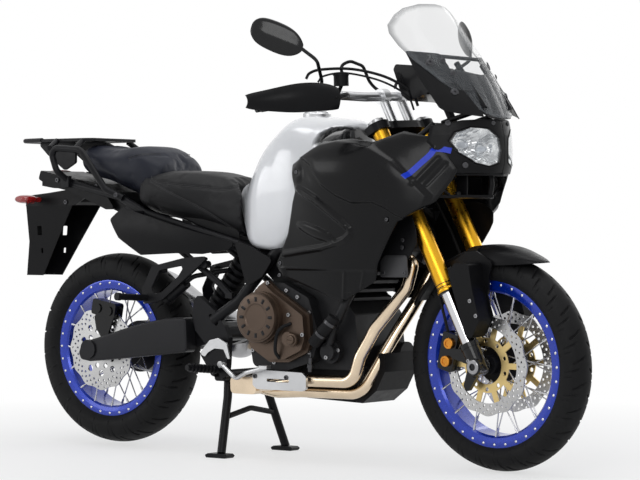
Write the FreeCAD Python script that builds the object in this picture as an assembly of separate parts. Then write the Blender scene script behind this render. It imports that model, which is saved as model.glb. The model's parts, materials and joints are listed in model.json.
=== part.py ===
"""Adventure motorcycle, built as named pieces in millimetres.

+X is forward, +Y is the rider's left, +Z is up. The origin is on the floor under the
middle of the overall length. The bike stands on its centre stand with the steering
turned a little to the right.
"""
import FreeCAD, Part
import math
import os

V = FreeCAD.Vector
os.makedirs("parts", exist_ok=True)

# Driving dimensions
WHEELBASE = 1540.0
OVERALL_LENGTH = 2255.0
FRONT_TYRE_R = 329.0
FRONT_TYRE_W = 110.0
REAR_TYRE_R = 321.0
REAR_TYRE_W = 150.0
REAR_LIFT = 10.0
RAKE = 27.0
FORK_OFFSET = 37.0
FORK_SPACING = 210.0
STEER_AT_REST = -6.0
SEAT_TOP = 922.0
RACK_Z = 1042.0

WAVE_DEPTH = 6.4

# Fits
SEAT_GAP = 0.3
RUN_GAP = 0.5
LOCK_GAP = 5.0

FRONT_AXLE = V(OVERALL_LENGTH / 2 - FRONT_TYRE_R - 0.3, 0, FRONT_TYRE_R)
REAR_AXLE = V(FRONT_AXLE.x - WHEELBASE, 0, REAR_TYRE_R + REAR_LIFT)
RAKE_RAD = math.radians(RAKE)
STEER_DIR = V(-math.sin(RAKE_RAD), 0, math.cos(RAKE_RAD))
STEER_FWD = V(math.cos(RAKE_RAD), 0, math.sin(RAKE_RAD))
STEER_BASE = FRONT_AXLE - STEER_FWD * FORK_OFFSET

PIVOT = V(-245, 0, 400)
STAND_PIVOT = V(-190, 0, 262)
SIDE_PIVOT = V(20, 172, 235)


# Shape helpers

def box(x0, x1, y0, y1, z0, z1):
    return Part.makeBox(x1 - x0, y1 - y0, z1 - z0, V(x0, y0, z0))


def cyl(p, q, r, r2=None):
    d = q - p
    if r2 is None:
        return Part.makeCylinder(r, d.Length, p, d)
    return Part.makeCone(r, r2, d.Length, p, d)


def cyl_y(x, z, y0, y1, r):
    return cyl(V(x, min(y0, y1), z), V(x, max(y0, y1), z), r)


def ball(p, r):
    return Part.makeSphere(r, p)


def rounded(points, r, closed=True):
    """Wire through the points with every corner rounded by a tangent arc."""
    n = len(points)
    radii = r if hasattr(r, "__len__") else [r] * n
    corners = []
    for i in range(n):
        p = points[i]
        if not closed and i in (0, n - 1):
            corners.append((p, p, None))
            continue
        a = points[i - 1] - p
        b = points[(i + 1) % n] - p
        la, lb = a.Length, b.Length
        a.normalize()
        b.normalize()
        ang = a.getAngle(b)
        if radii[i] <= 0 or abs(ang - math.pi) < 2e-3:
            corners.append((p, p, None))
            continue
        t = min(radii[i] / math.tan(ang / 2), 0.46 * la, 0.46 * lb)
        rad = t * math.tan(ang / 2)
        bis = a + b
        bis.normalize()
        mid = p + bis * (rad / math.sin(ang / 2) - rad)
        corners.append((p + a * t, p + b * t, mid))
    edges = []
    for i in range(n):
        s, e, mid = corners[i]
        if mid is not None:
            edges.append(Part.Arc(s, mid, e).toShape())
        if i < n - 1 or closed:
            nxt = corners[(i + 1) % n][0]
            if (nxt - e).Length > 1e-5:
                edges.append(Part.LineSegment(e, nxt).toShape())
    return Part.Wire(edges)


def side_plate(outline, y0, y1, r=0):
    """Outline in x and z, extruded along y."""
    face = Part.Face(rounded([V(x, y0, z) for x, z in outline], r))
    return face.extrude(V(0, y1 - y0, 0))


def flat_plate(outline, z0, z1, r=0):
    """Outline in x and y, extruded along z."""
    face = Part.Face(rounded([V(x, y, z0) for x, y in outline], r))
    return face.extrude(V(0, 0, z1 - z0))


def cross_plate(outline, x0, x1, r=0):
    """Outline in y and z, extruded along x."""
    face = Part.Face(rounded([V(x0, y, z) for y, z in outline], r))
    return face.extrude(V(x1 - x0, 0, 0))


def tube(points, r, bend=0, bore=0):
    """Round tube along straight runs joined by tangent arcs."""
    pts = [V(*p) if isinstance(p, tuple) else p for p in points]
    path = rounded(pts, bend, closed=False)
    d = pts[1] - pts[0]
    ring = Part.Wire(Part.makeCircle(r, pts[0], d))
    body = path.makePipeShell([ring], True, False)
    if bore:
        hole = Part.Wire(Part.makeCircle(bore, pts[0], d))
        body = body.cut(path.makePipeShell([hole], True, False))
    return body


def join(*shapes):
    flat = []
    for s in shapes:
        flat.extend(s if isinstance(s, (list, tuple)) else [s])
    out = flat[0]
    if len(flat) > 1:
        out = flat[0].fuse(flat[1:])
    return out


def group(*shapes):
    """Solids that don't touch, or are kept apart, in one piece."""
    solids = []
    for s in shapes:
        for item in (s if isinstance(s, (list, tuple)) else [s]):
            solids.extend(item.Solids)
    return Part.Compound(solids)


def mirror_y(shape):
    return shape.mirror(V(0, 0, 0), V(0, 1, 0))


def both(shape):
    return [shape, mirror_y(shape)]


def ring_loft(sections, ruled=False):
    """Loft through closed smooth sections."""
    wires = []
    for pts in sections:
        c = Part.BSplineCurve()
        c.interpolate(pts, True)
        wires.append(Part.Wire(c.toShape()))
    return Part.makeLoft(wires, True, ruled)


def oval_x(x, half_w, z_low, z_high, square=2.6, n=16, y0=0.0, belly=0.5, tuck=1.0, low=None):
    """Closed section across x: a rounded box, widest at the belly height, foot narrowed by tuck."""
    zc = z_low + belly * (z_high - z_low)
    pts = []
    for i in range(n):
        a = 2 * math.pi * i / n
        c, s = math.cos(a), math.sin(a)
        ex = 2.0 / (low if low and s < 0 else square)
        y = half_w * math.copysign(abs(c) ** ex, c)
        if s >= 0:
            z = zc + (z_high - zc) * abs(s) ** ex
        else:
            z = zc - (zc - z_low) * abs(s) ** ex
            y *= 1 - (1 - tuck) * abs(s)
        pts.append(V(x, y0 + y, z))
    return pts


def field_panel(height, xr, zr, nx, nz, outline, t, r=0, side=-1):
    """Bulged panel: y given over x and z, thickness inward, trimmed by an outline in x and z."""
    grid = []
    for i in range(nx):
        x = xr[0] + (xr[1] - xr[0]) * i / (nx - 1)
        row = []
        for k in range(nz):
            z = zr[0] + (zr[1] - zr[0]) * k / (nz - 1)
            row.append(V(x, side * height(x, z), z))
        grid.append(row)
    surf = Part.BSplineSurface()
    surf.interpolate(grid)
    body = surf.toShape().extrude(V(0, -side * t, 0))
    mask = side_plate(outline, side * 20, side * 420, r)
    return body.common(mask)


def front_panel(depth, yr, zr, ny, nz, outline, t, r=0):
    """Bulged panel: x given over y and z, thickness to the rear, trimmed by an outline."""
    grid = []
    for i in range(ny):
        y = yr[0] + (yr[1] - yr[0]) * i / (ny - 1)
        row = []
        for k in range(nz):
            z = zr[0] + (zr[1] - zr[0]) * k / (nz - 1)
            row.append(V(depth(y, z), y, z))
        grid.append(row)
    surf = Part.BSplineSurface()
    surf.interpolate(grid)
    body = surf.toShape().extrude(V(-t, 0, 0))
    mask = cross_plate(outline, 0, 1200, r)
    return body.common(mask)


def along(table, x):
    """Value at x from a table of pairs, joined by smooth steps."""
    if x <= table[0][0]:
        return table[0][1]
    for (x0, v0), (x1, v1) in zip(table, table[1:]):
        if x <= x1:
            f = (x - x0) / (x1 - x0)
            f = f * f * (3 - 2 * f)
            return v0 + (v1 - v0) * f
    return table[-1][1]


def stud(p, d, target, r, extra=2.0):
    """Round stand-off from p along d that stops just short of the target's skin."""
    d = V(d.x, d.y, d.z)
    d.normalize()
    hit = Part.makeLine(p, p + d * 500).common(target)
    reach = min((v.Point - p).Length for v in hit.Vertexes)
    body = cyl(p, p + d * (reach + extra), r)
    shifted = target.copy()
    shifted.translate(d * (-SEAT_GAP))
    left = body.cut(shifted)
    return min(left.Solids, key=lambda s: s.distToShape(Part.Vertex(p))[0])


def steer_point(u, y, s):
    """Point u ahead of the steering axis, y to the left, s up the axis."""
    return STEER_BASE + STEER_FWD * u + V(0, y, 0) + STEER_DIR * s


def turned(shape):
    out = shape.copy()
    out.rotate(STEER_BASE, STEER_DIR, STEER_AT_REST)
    return out


def revolve_y(profile, centre):
    """Closed profile of (radius, y) points turned about the axle line."""
    pts = [V(centre.x + rr, yy, centre.z) for rr, yy in profile]
    face = Part.Face(Part.makePolygon(pts + [pts[0]]))
    return face.revolve(centre, V(0, 1, 0), 360)


def revolve_curve(outer, inner, centre):
    """Ring between two smooth curves of (radius, y) points, turned about the axle line."""
    def curve(table):
        c = Part.BSplineCurve()
        c.interpolate([V(centre.x + rr, yy, centre.z) for rr, yy in table])
        return c.toShape()
    a, b = curve(outer), curve(inner)
    def at(t):
        return V(centre.x + t[0], t[1], centre.z)
    ends = [Part.LineSegment(at(outer[-1]), at(inner[0])).toShape(),
            Part.LineSegment(at(inner[-1]), at(outer[0])).toShape()]
    face = Part.Face(Part.Wire([a, ends[0], b, ends[1]]))
    return face.revolve(centre, V(0, 1, 0), 360)


# Wheels

def tyre(centre, r_out, width, r_bead, bead_half, r_flange):
    hw = width / 2
    outer = [(r_bead, -bead_half), (r_bead + 7, -bead_half), (r_flange + 1.5, -bead_half - 0.3),
             (r_flange + 8, -bead_half - 8),
             (r_bead + 0.40 * (r_out - r_bead), -hw), (r_out - 22, -0.86 * hw),
             (r_out - 5.5, -0.45 * hw), (r_out, 0)]
    outer += [(a, -b) for a, b in reversed(outer[:-1])]
    wall = 9.0
    inner = [(r_bead, bead_half - 13), (r_bead + 16, bead_half - 5),
             (r_bead + 0.40 * (r_out - r_bead), hw - wall), (r_out - 22 - wall, 0.80 * hw),
             (r_out - 7 - wall, 0.42 * hw), (r_out - wall - 1, 0)]
    inner += [(a, -b) for a, b in reversed(inner[:-1])]
    return revolve_curve(outer, inner, centre)


def rim(centre, r_flange, r_seat, r_low, half_w):
    seat = half_w - 5.7
    prof = [(r_flange, half_w), (r_flange - 1, half_w - 4.5), (r_seat + 1, seat),
            (r_seat - 1.5, seat - 14), (r_seat - 13, seat - 20),
            (r_seat - 13, -seat + 20), (r_seat - 1.5, -seat + 14), (r_seat + 1, -seat),
            (r_flange - 1, -half_w + 4.5), (r_flange, -half_w),
            (r_flange - 5, -half_w - 1), (r_low + 6, -half_w + 3), (r_low, -half_w + 9),
            (r_low, half_w - 9), (r_low + 6, half_w - 3), (r_flange - 5, half_w + 1)]
    return revolve_y(prof, centre)


def spoked_hub(centre, r_body, half_flange, r_flange, r_rim, rim_half, count, bore, reach):
    prof = [(bore, -reach), (bore + 14, -reach), (bore + 16, -half_flange - 4),
            (r_flange - 4, -half_flange - 4), (r_flange, -half_flange),
            (r_flange, -half_flange + 6), (r_body, -half_flange + 16)]
    prof += [(a, -b) for a, b in reversed(prof)]
    hub = revolve_y(prof, centre)
    spokes = []
    lean = math.radians(34)
    for i in range(count):
        side = 1 if i % 2 else -1
        a_rim = 2 * math.pi * i / count
        a_hub = a_rim + lean * (1 if (i // 2) % 2 else -1)
        p = centre + V(math.cos(a_hub) * (r_flange - 5), side * (half_flange + 1),
                       math.sin(a_hub) * (r_flange - 5))
        q = centre + V(math.cos(a_rim) * (r_rim + 3), side * rim_half,
                       math.sin(a_rim) * (r_rim + 3))
        spokes.append(cyl(p, q, 2.0))
        d = q - p
        d.normalize()
        spokes.append(cyl(q - d * 16, q, 3.6))
    return join(hub, spokes)


def wave_disc(centre, y0, y1, r_out, r_in, waves, holes):
    pts = []
    n = waves * 6
    for i in range(n):
        a = 2 * math.pi * i / n
        rr = r_out - WAVE_DEPTH * (1 - math.cos(waves * a)) / 2
        pts.append(centre + V(math.cos(a) * rr, y0, math.sin(a) * rr))
    c = Part.BSplineCurve()
    c.interpolate(pts, True)
    body = Part.Face(Part.Wire(c.toShape())).extrude(V(0, y1 - y0, 0))
    drills = [cyl_y(centre.x, centre.z, y0 - 1, y1 + 1, r_in)]
    for k, (rr, count, hr) in enumerate(holes):
        for i in range(count):
            a = 2 * math.pi * (i + 0.5 * (k % 2)) / count
            drills.append(cyl_y(centre.x + math.cos(a) * rr, centre.z + math.sin(a) * rr,
                                y0 - 1, y1 + 1, hr))
    return body.cut(drills)


def disc_carrier(centre, y0, y1, r_arm, r_ring, r_in, arms):
    body = cyl_y(centre.x, centre.z, y0, y1, r_ring)
    parts = []
    for i in range(arms):
        a = 360.0 * i / arms
        arm = box(centre.x + r_ring - 8, centre.x + r_arm, y0, y1, centre.z - 9, centre.z + 9)
        arm.rotate(centre, V(0, 1, 0), a)
        parts.append(arm)
    body = join(body, parts)
    holes = [cyl_y(centre.x, centre.z, y0 - 1, y1 + 1, r_in)]
    for i in range(arms):
        a = 2 * math.pi * (i + 0.5) / arms
        rr = (r_ring + r_in) / 2 + 2
        holes.append(cyl_y(centre.x + math.cos(a) * rr, centre.z + math.sin(a) * rr,
                           y0 - 1, y1 + 1, 6.5))
    return body.cut(holes)


F_BEAD, F_RIM_HALF = 241.6, 40.0
R_BEAD, R_RIM_HALF = 217.8, 58.0
F_DISC_Y = 66.0
R_DISC_Y = 98.0

parts = {}

front_tyre = tyre(FRONT_AXLE, FRONT_TYRE_R, FRONT_TYRE_W, F_BEAD + SEAT_GAP, 33.7, 254.0)
front_rim = rim(FRONT_AXLE, 254.0, F_BEAD - 1.3, 218.0, F_RIM_HALF)
front_hub = spoked_hub(FRONT_AXLE, 34, 30, 56, 218, 31, 32, 13.0, 60)
front_discs = group(*[wave_disc(FRONT_AXLE, s * F_DISC_Y - 2.5, s * F_DISC_Y + 2.5, 155, 116, 12,
                                [(123, 30, 4), (134, 30, 4), (145, 30, 3.5)]) for s in (-1, 1)])
front_carriers = group(*[disc_carrier(FRONT_AXLE, s * F_DISC_Y - 2.0, s * F_DISC_Y + 2.0,
                                      115.2, 84, 58, 10) for s in (-1, 1)])
hub_cups = [cyl_y(FRONT_AXLE.x, FRONT_AXLE.z, s * 33.0, s * (F_DISC_Y - 2.0), 66).cut(
    cyl_y(FRONT_AXLE.x, FRONT_AXLE.z, s * 30, s * 70, 24)) for s in (-1, 1)]
front_hub = join(front_hub, hub_cups)

rear_tyre = tyre(REAR_AXLE, REAR_TYRE_R, REAR_TYRE_W, R_BEAD + SEAT_GAP, 51.7, 230.0)
rear_rim = rim(REAR_AXLE, 230.0, R_BEAD - 1.3, 196.0, R_RIM_HALF)
rear_hub = spoked_hub(REAR_AXLE, 44, 40, 66, 196, 48, 32, 16.0, 70)
rear_hub = join(rear_hub, cyl_y(REAR_AXLE.x, REAR_AXLE.z, -R_DISC_Y + 2.5, -43, 48).cut(
    cyl_y(REAR_AXLE.x, REAR_AXLE.z, -110, -30, 20)),
    cyl_y(REAR_AXLE.x, REAR_AXLE.z, 43, 84, 52).cut(
        cyl_y(REAR_AXLE.x, REAR_AXLE.z, 30, 95, 20)))
rear_disc = wave_disc(REAR_AXLE, -R_DISC_Y - 2.5, -R_DISC_Y + 2.5, 141, 30, 12,
                      [(108, 30, 4), (119, 30, 4), (130, 30, 3.5), (84, 10, 11), (60, 10, 9)])

# Fork and steering, drawn straight ahead and turned together at the end

LEG_Y = FORK_SPACING / 2
OUTER_R, INNER_R = 27.0, 21.5
LOWER_YOKE_S, UPPER_YOKE_S = 655.0, 798.0
YOKE_T = 30.0
CAP_S = 826.0


def leg(side, s0, s1, r):
    return cyl(steer_point(FORK_OFFSET, side * LEG_Y, s0),
               steer_point(FORK_OFFSET, side * LEG_Y, s1), r)


fork_outers = group(*[leg(s, 249, CAP_S, OUTER_R).cut(leg(s, 240, CAP_S + 5, INNER_R + RUN_GAP))
                      for s in (-1, 1)])
fork_inners = group(*[leg(s, 75, 520, INNER_R) for s in (-1, 1)])
fork_caps = group([join(leg(s, 808 - 4, CAP_S, INNER_R), leg(s, CAP_S + SEAT_GAP, CAP_S + 9, OUTER_R),
                        leg(s, CAP_S - 2, CAP_S + 16, 12)) for s in (-1, 1)])
axle = cyl_y(FRONT_AXLE.x, FRONT_AXLE.z, -132, 132, 12.5).cut(
    cyl_y(FRONT_AXLE.x, FRONT_AXLE.z, -140, 140, 8.0))
bottoms = []
for s in (-1, 1):
    body = join(leg(s, -24, 75, 28.5), cyl_y(FRONT_AXLE.x, FRONT_AXLE.z, s * 84, s * 130, 27),
                leg(s, 60, 75, 31))
    web = Part.Face(rounded([V(p.x, s * 90, p.z) for p in (
        steer_point(FORK_OFFSET - 5, 0, 62), steer_point(FORK_OFFSET - 78, 0, 92),
        steer_point(FORK_OFFSET - 84, 0, 66), steer_point(FORK_OFFSET - 34, 0, 20),
        steer_point(FORK_OFFSET - 84, 0, -28), steer_point(FORK_OFFSET - 78, 0, -52),
        steer_point(FORK_OFFSET - 5, 0, -16))], 8)).extrude(V(0, s * 14, 0))
    bottoms += [body, web]
fork_bottoms = join(bottoms + [axle])


def yoke(s0, s1, back, extra=0):
    base = steer_point(0, 0, s0)
    pts = [(-34 - back, -26), (-34 - back, 26), (10, LEG_Y + 38), (FORK_OFFSET + 30, LEG_Y + 30),
           (FORK_OFFSET + 26, LEG_Y - 40), (66, 50), (66, -50), (FORK_OFFSET + 26, -LEG_Y + 40),
           (FORK_OFFSET + 30, -LEG_Y - 30), (10, -LEG_Y - 38)]
    wire = rounded([steer_point(u, y, s0) for u, y in pts], 16)
    body = Part.Face(wire).extrude(STEER_DIR * (s1 - s0))
    rims = [leg(s, s0 - extra, s1 + 2, OUTER_R + 9) for s in (-1, 1)]
    body = join(body, rims)
    return body.cut([leg(s, s0 - 60, s1 + 60, OUTER_R + SEAT_GAP) for s in (-1, 1)])


stem = cyl(steer_point(0, 0, LOWER_YOKE_S), steer_point(0, 0, UPPER_YOKE_S + 5), 14)
stem_nut = cyl(steer_point(0, 0, UPPER_YOKE_S + YOKE_T - 6), steer_point(0, 0, UPPER_YOKE_S + 38), 19)
yokes = join(yoke(LOWER_YOKE_S - 8, LOWER_YOKE_S + YOKE_T, 0, 14),
             yoke(UPPER_YOKE_S, UPPER_YOKE_S + YOKE_T - 6, 6), stem, stem_nut)

BAR_U, BAR_S, BAR_R = 47.0, 916.0, 14.3
bar_pts = [steer_point(-62, 425, 949), steer_point(28, 225, 934), steer_point(BAR_U, 120, BAR_S),
           steer_point(BAR_U, -120, BAR_S), steer_point(28, -225, 934),
           steer_point(-62, -425, 949)]
handlebar = join(tube(bar_pts, BAR_R, 90), [
    join(cyl(steer_point(BAR_U, s * 40, UPPER_YOKE_S + YOKE_T - 6 + SEAT_GAP),
             steer_point(BAR_U, s * 40, BAR_S - 12), 15),
         cyl(steer_point(BAR_U, s * 40 - 14, BAR_S), steer_point(BAR_U, s * 40 + 14, BAR_S), 25))
    for s in (-1, 1)])

grip_dir = bar_pts[0] - bar_pts[1]
grip_dir.normalize()


def grip_parts(side):
    def at(k):
        p = bar_pts[0] - grip_dir * k
        return V(p.x, side * p.y, p.z)
    sleeve = cyl(at(2), at(128), 17.5).cut(cyl(at(-5), at(140), BAR_R + SEAT_GAP))
    end = cyl(at(0), at(-34), 14.3)
    hub = cyl(at(168), at(206), 22).cut(cyl(at(100), at(230), BAR_R + SEAT_GAP))
    lever_root = at(140)
    d = at(0) - at(100)
    d.normalize()
    fwd = V(0.92, 0, -0.30)
    perch = cyl(lever_root, lever_root + fwd * 40, 11).cut(
        cyl(at(100), at(230), BAR_R + SEAT_GAP))
    ring = cyl(at(131), at(149), 21).cut(cyl(at(100), at(230), BAR_R + SEAT_GAP))
    knee = lever_root + fwd * 38
    lever = tube([knee, knee + d * 30 + fwd * 10, knee + d * 128 + fwd * 2], 5.5, 30)
    return [sleeve, end, hub, join(perch, ring, lever)]


grips_controls = group(*grip_parts(1), *grip_parts(-1))
tank_c = steer_point(83, -247, 954)
reservoir = join(cyl(tank_c + V(0, 0, -16), tank_c + V(0, 0, 16), 23),
                 cyl(tank_c + V(0, 0, 16), tank_c + V(0, 0, 22), 25),
                 cyl(tank_c + V(0, 0, -14), steer_point(34, -226, 934), 6)).cut(
    [tube(bar_pts, BAR_R + SEAT_GAP, 90), grips_controls])
reservoir = max(reservoir.Solids, key=lambda q: q.Volume)

# Hand guards: a bent shell in front of each hand, closed at its outer end


def guard_shell(side):
    stations = [(506, 264, 1145, 19), (490, 300, 1145, 28), (460, 345, 1147, 36),
                (420, 385, 1150, 43), (375, 417, 1152, 44), (330, 442, 1150, 40),
                (300, 455, 1146, 32)]
    def surface(inset):
        grid = []
        for i, (y, x, zc, h) in enumerate(stations):
            row = []
            for k in range(7):
                f = -1 + 2 * k / 6.0
                row.append(V(x - 15 * f * f - inset, side * (y + 6 * (1 - f * f) - 0.4 * inset),
                             zc + h * f))
            grid.append(row)
        s = Part.BSplineSurface()
        s.interpolate(grid)
        return s
    front = surface(0).toShape()
    return front.extrude(V(-4.5, -side * 2.5, 0))


def guard_mount(side):
    end = V(bar_pts[0].x, side * bar_pts[0].y, bar_pts[0].z)
    d = V(grip_dir.x, side * grip_dir.y, grip_dir.z)
    a = end + d * (34 + SEAT_GAP)
    b = end + d * 52
    return cyl(a, b, 13)


handguards = []
for side in (-1, 1):
    shell = guard_shell(side)
    cap = guard_mount(side)
    end = V(bar_pts[0].x, side * bar_pts[0].y, bar_pts[0].z)
    d = V(grip_dir.x, side * grip_dir.y, grip_dir.z)
    arm = tube([end + d * 44, end + d * 50 + V(28, side * 4, 4), V(330, side * 462, 1148)], 8, 14)
    inner = tube([V(445, side * 322, 1147), V(432, side * 250, 1158),
                  steer_point(35, side * 184, 927)], 7, 40)
    inner = inner.cut(tube(bar_pts, BAR_R + SEAT_GAP, 90))
    inner = min(inner.Solids, key=lambda q: -abs(q.CenterOfMass.y))
    handguards.append(join(shell, cap, arm, inner))
handguards = group(*handguards)


def mirror_parts(side):
    top = V(384, side * 410, 1306)
    foot = V(bar_pts[0].x, side * bar_pts[0].y, bar_pts[0].z) - V(
        grip_dir.x, side * grip_dir.y, grip_dir.z) * 158
    clamp = cyl(foot - V(grip_dir.x, side * grip_dir.y, grip_dir.z) * 7,
                foot + V(grip_dir.x, side * grip_dir.y, grip_dir.z) * 7, 21)
    clamp = clamp.cut(tube(bar_pts, BAR_R + SEAT_GAP, 90))
    stem = tube([foot + V(6, 0, 14), foot + V(22, side * 6, 52), V(418, side * 366, 1262), top],
                5.5, 30)
    stem = stem.cut(tube(bar_pts, BAR_R + SEAT_GAP, 90))
    # shell: an oval lens shape tilted to the rear
    sections = []
    for f, w in [(0.0, 0.3), (0.12, 0.72), (0.35, 1.0), (0.7, 1.0), (0.9, 0.8), (1.0, 0.4)]:
        px = 392 - 118 * f
        pz = 1300 + 68 * f
        pyc = side * (404 + 88 * f)
        ring = []
        for i in range(12):
            a = 2 * math.pi * i / 12
            ring.append(V(px + 16 * w * math.cos(a) + 10 * w * math.sin(a),
                          pyc - side * 8.4 * w * math.sin(a), pz + 42 * w * math.sin(a)))
        sections.append(ring)
    head = ring_loft(sections)
    return join(clamp, stem, head)


mirrors = group([max(mirror_parts(s).cut(grips_controls).Solids, key=lambda q: q.Volume)
                 for s in (1, -1)])

# Front fender: an arch over the tyre with legs in front of the fork


def arch(centre, table_r, y_half, a0, a1, t):
    prof_out = [(table_r[0], -y_half), (table_r[1], -0.92 * y_half), (table_r[2], -0.6 * y_half),
                (table_r[3], 0)]
    prof_out += [(a, -b) for a, b in reversed(prof_out[:-1])]
    c = Part.BSplineCurve()
    c.interpolate([V(centre.x + rr, yy, centre.z) for rr, yy in prof_out])
    d = Part.BSplineCurve()
    d.interpolate([V(centre.x + rr - (t if abs(yy) < y_half * 0.99 else 0), yy * (1 - t / y_half), centre.z)
                   for rr, yy in reversed(prof_out)])
    e0 = Part.LineSegment(c.EndPoint, d.StartPoint).toShape()
    e1 = Part.LineSegment(d.EndPoint, c.StartPoint).toShape()
    face = Part.Face(Part.Wire([c.toShape(), e0, d.toShape(), e1]))
    body = face.revolve(centre, V(0, 1, 0), -(a1 - a0))
    body.rotate(centre, V(0, 1, 0), -a0)
    return body


fender_arch = arch(FRONT_AXLE + V(8, 0, 12), (316, 334, 344, 349), 72, 96, 150, 3.5)


def fender_nose(inset):
    """Front of the fender: an arch over the tyre that narrows to a low pointed tip."""
    rows = [(-78, 68, 356, 58), (-19, 69, 361, 60), (49, 68, 359, 58), (102, 61, 347, 43),
            (142, 48, 331, 25), (172, 30, 319, 12), (188, 14, 312, 5)]
    if inset:
        rows = [(-80,) + rows[0][1:]] + rows[1:-1] + [(180, 22, 315, 8)]
    sections = []
    for x, half, top, deep in rows:
        half, top = half - inset, top - inset
        deep = max(deep - 0.3 * inset, 3)
        sections.append(oval_x(FRONT_AXLE.x + x, half, FRONT_AXLE.z + top - 2 * deep,
                               FRONT_AXLE.z + top, 2.5))
    return ring_loft(sections)


fender_edge = side_plate([(FRONT_AXLE.x + x, FRONT_AXLE.z + z) for x, z in (
    (-100, 302), (60, 302), (110, 304), (200, 308), (200, 420), (-100, 420))], -90, 90)
fender_front = fender_nose(0).cut(fender_nose(3.2)).common(fender_edge)
fender_front = max(fender_front.Solids, key=lambda q: q.Volume)
guards_low = []
for s in (-1, 1):
    outline = [(775, 676), (735, 668), (684, 640), (672, 600), (700, 560), (742, 470), (790, 412),
               (806, 425), (838, 475), (812, 560), (826, 600), (840, 640)]
    leaf = side_plate(outline, s * 73.8, s * 77.8, 14)
    root = side_plate([(775, 676), (735, 668), (684, 640), (674, 600), (700, 540), (820, 540),
                       (826, 600), (838, 640)], s * 70, s * 77.8, 14)
    guards_low += [leaf, root]
legs_cover = []
for s in (-1, 1):
    cover = side_plate([(742, 640), (716, 612), (752, 500), (776, 424), (800, 414), (832, 470),
                        (808, 560), (795, 640)], s * 77.8, s * 138, 10)
    cover = cover.cut([leg(s, 0, 700, OUTER_R + 3), side_plate(
        [(760, 640), (700, 660), (690, 560), (730, 480), (752, 415), (775, 415)], s * 81, s * 132)])
    legs_cover.append(cover)
front_fender = join([fender_arch, fender_front] + guards_low + legs_cover)
front_fender = front_fender.cut([leg(s, -30, 700, OUTER_R + 1.0) for s in (-1, 1)])

# Front calipers on the fork bottoms


def caliper(at_x, at_z, axle_at, y_mid, half_open, width, length, disc_r, depth=58.0):
    """Caliper block over the disc edge: its own up is away from the axle."""
    out_x, out_z = at_x - axle_at.x, at_z - axle_at.z
    dist = math.hypot(out_x, out_z)
    angle = math.degrees(math.atan2(out_x, out_z))
    body = box(-length / 2, length / 2, y_mid - width / 2, y_mid + width / 2, -depth / 2, depth / 2)
    body = body.makeFillet(9, [e for e in body.Edges if abs(e.tangentAt(0).y) > 0.9])
    body = body.cut(box(-length, length, y_mid - half_open, y_mid + half_open, -depth,
                        disc_r - dist + 4))
    for k in (-1, 1):
        body = body.fuse(cyl(V(k * length * 0.24, y_mid - width / 2 - 5, -3),
                             V(k * length * 0.24, y_mid - half_open - 1, -3), 16))
    body.rotate(V(0, 0, 0), V(0, 1, 0), angle)
    body.translate(V(at_x, 0, at_z))
    return body


cal = caliper(664, 366, FRONT_AXLE, -F_DISC_Y, 8.0, 44, 118, 155)
cal = cal.cut(fork_bottoms)
cal = max(cal.Solids, key=lambda q: q.Volume)
front_calipers = group(cal, mirror_y(cal))

# Engine

CRANK_Y = 168.0
crankcase = join(
    side_plate([(-52, 296), (-72, 420), (-40, 545), (60, 590), (250, 570), (340, 470),
                (352, 370), (342, 296)], -125, 125, 24),
    side_plate([(20, 310), (350, 310), (334, 240), (300, 216), (60, 216), (24, 240)],
               -82, 100, 14),
    side_plate([(-30, 300), (-52, 420), (-10, 550), (90, 566), (190, 520), (232, 400), (205, 320),
                (90, 285)], -CRANK_Y, CRANK_Y, 22))
barrel = side_plate([(70, 560), (262, 492), (392, 742), (250, 816), (202, 800)], -92, 92, 16)
head = side_plate([(196, 790), (392, 690), (440, 640), (492, 668), (478, 742), (438, 806),
                   (300, 872), (236, 858)], -94, 94, 16)
fins = [side_plate([(262 + 14 * k, 500 + 27 * k), (300 + 14 * k, 482 + 27 * k),
                    (306 + 14 * k, 494 + 27 * k), (268 + 14 * k, 514 + 27 * k)], -100, 100, 3)
        for k in range(6)]
oil_filter = cyl(V(350, 38, 346), V(424, 38, 344), 38)
starter = cyl(V(250, 0, 590), V(60, 0, 640), 40)
pump = join(cyl_y(262, 352, -150, -120, 36), cyl_y(262, 352, -168, -150, 26))
water = tube([(262, -156, 372), (282, -158, 430), (318, -150, 500), (344, -112, 580)], 14, 40)
PORT_DIR = V(0.86, 0, -0.51)
PORT_DIR.normalize()
PORTS = [V(452, s * 62, 670) + PORT_DIR * 42 for s in (-1, 1)]
ports = [cyl(q - PORT_DIR * 50, q, 28) for q in PORTS]
engine = join([crankcase, barrel, head, oil_filter, starter, pump, water] + fins + ports)

COVER = [(2, 553), (38, 575), (73, 547), (146, 504), (205, 468), (213, 387), (198, 350),
         (125, 317), (50, 315), (-19, 354), (-47, 415), (-47, 480)]
CAP_X, CAP_Z, CAP_R = 36.0, 456.0, 79.0


def cover_right():
    base = side_plate(COVER, -CRANK_Y, -184, 14)
    def scaled(k):
        return [(85 + (x - 85) * k, 440 + (z - 440) * k) for x, z in COVER]
    mid = side_plate(scaled(0.92), -184, -206, 14)
    step = cyl_y(CAP_X, CAP_Z, -206, -222, CAP_R + 4)
    cap = cyl_y(CAP_X, CAP_Z, -222, -240, CAP_R)
    cap = cap.makeFillet(6, [e for e in cap.Edges if e.BoundBox.YMax < -239.5])
    ribs = []
    for k in range(10):
        a = 2 * math.pi * (k + 0.5) / 10
        ribs.append(cyl_y(CAP_X + 58 * math.cos(a), CAP_Z + 58 * math.sin(a), -238.5, -250, 9))
    cap = cap.cut(ribs)
    filler = cyl_y(148, 392, -206, -222, 22)
    return join([base, mid, step, cap, filler])


def cover_left():
    base = side_plate([(x, z) for x, z in COVER], CRANK_Y, 182, 14)
    drum = cyl_y(190 - 40, 430, 182, 214, 92)
    drum = drum.makeFillet(10, [e for e in drum.Edges if e.BoundBox.YMin > 213.5])
    return join(base, drum)


engine_covers = group(cover_right(), cover_left())

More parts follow.
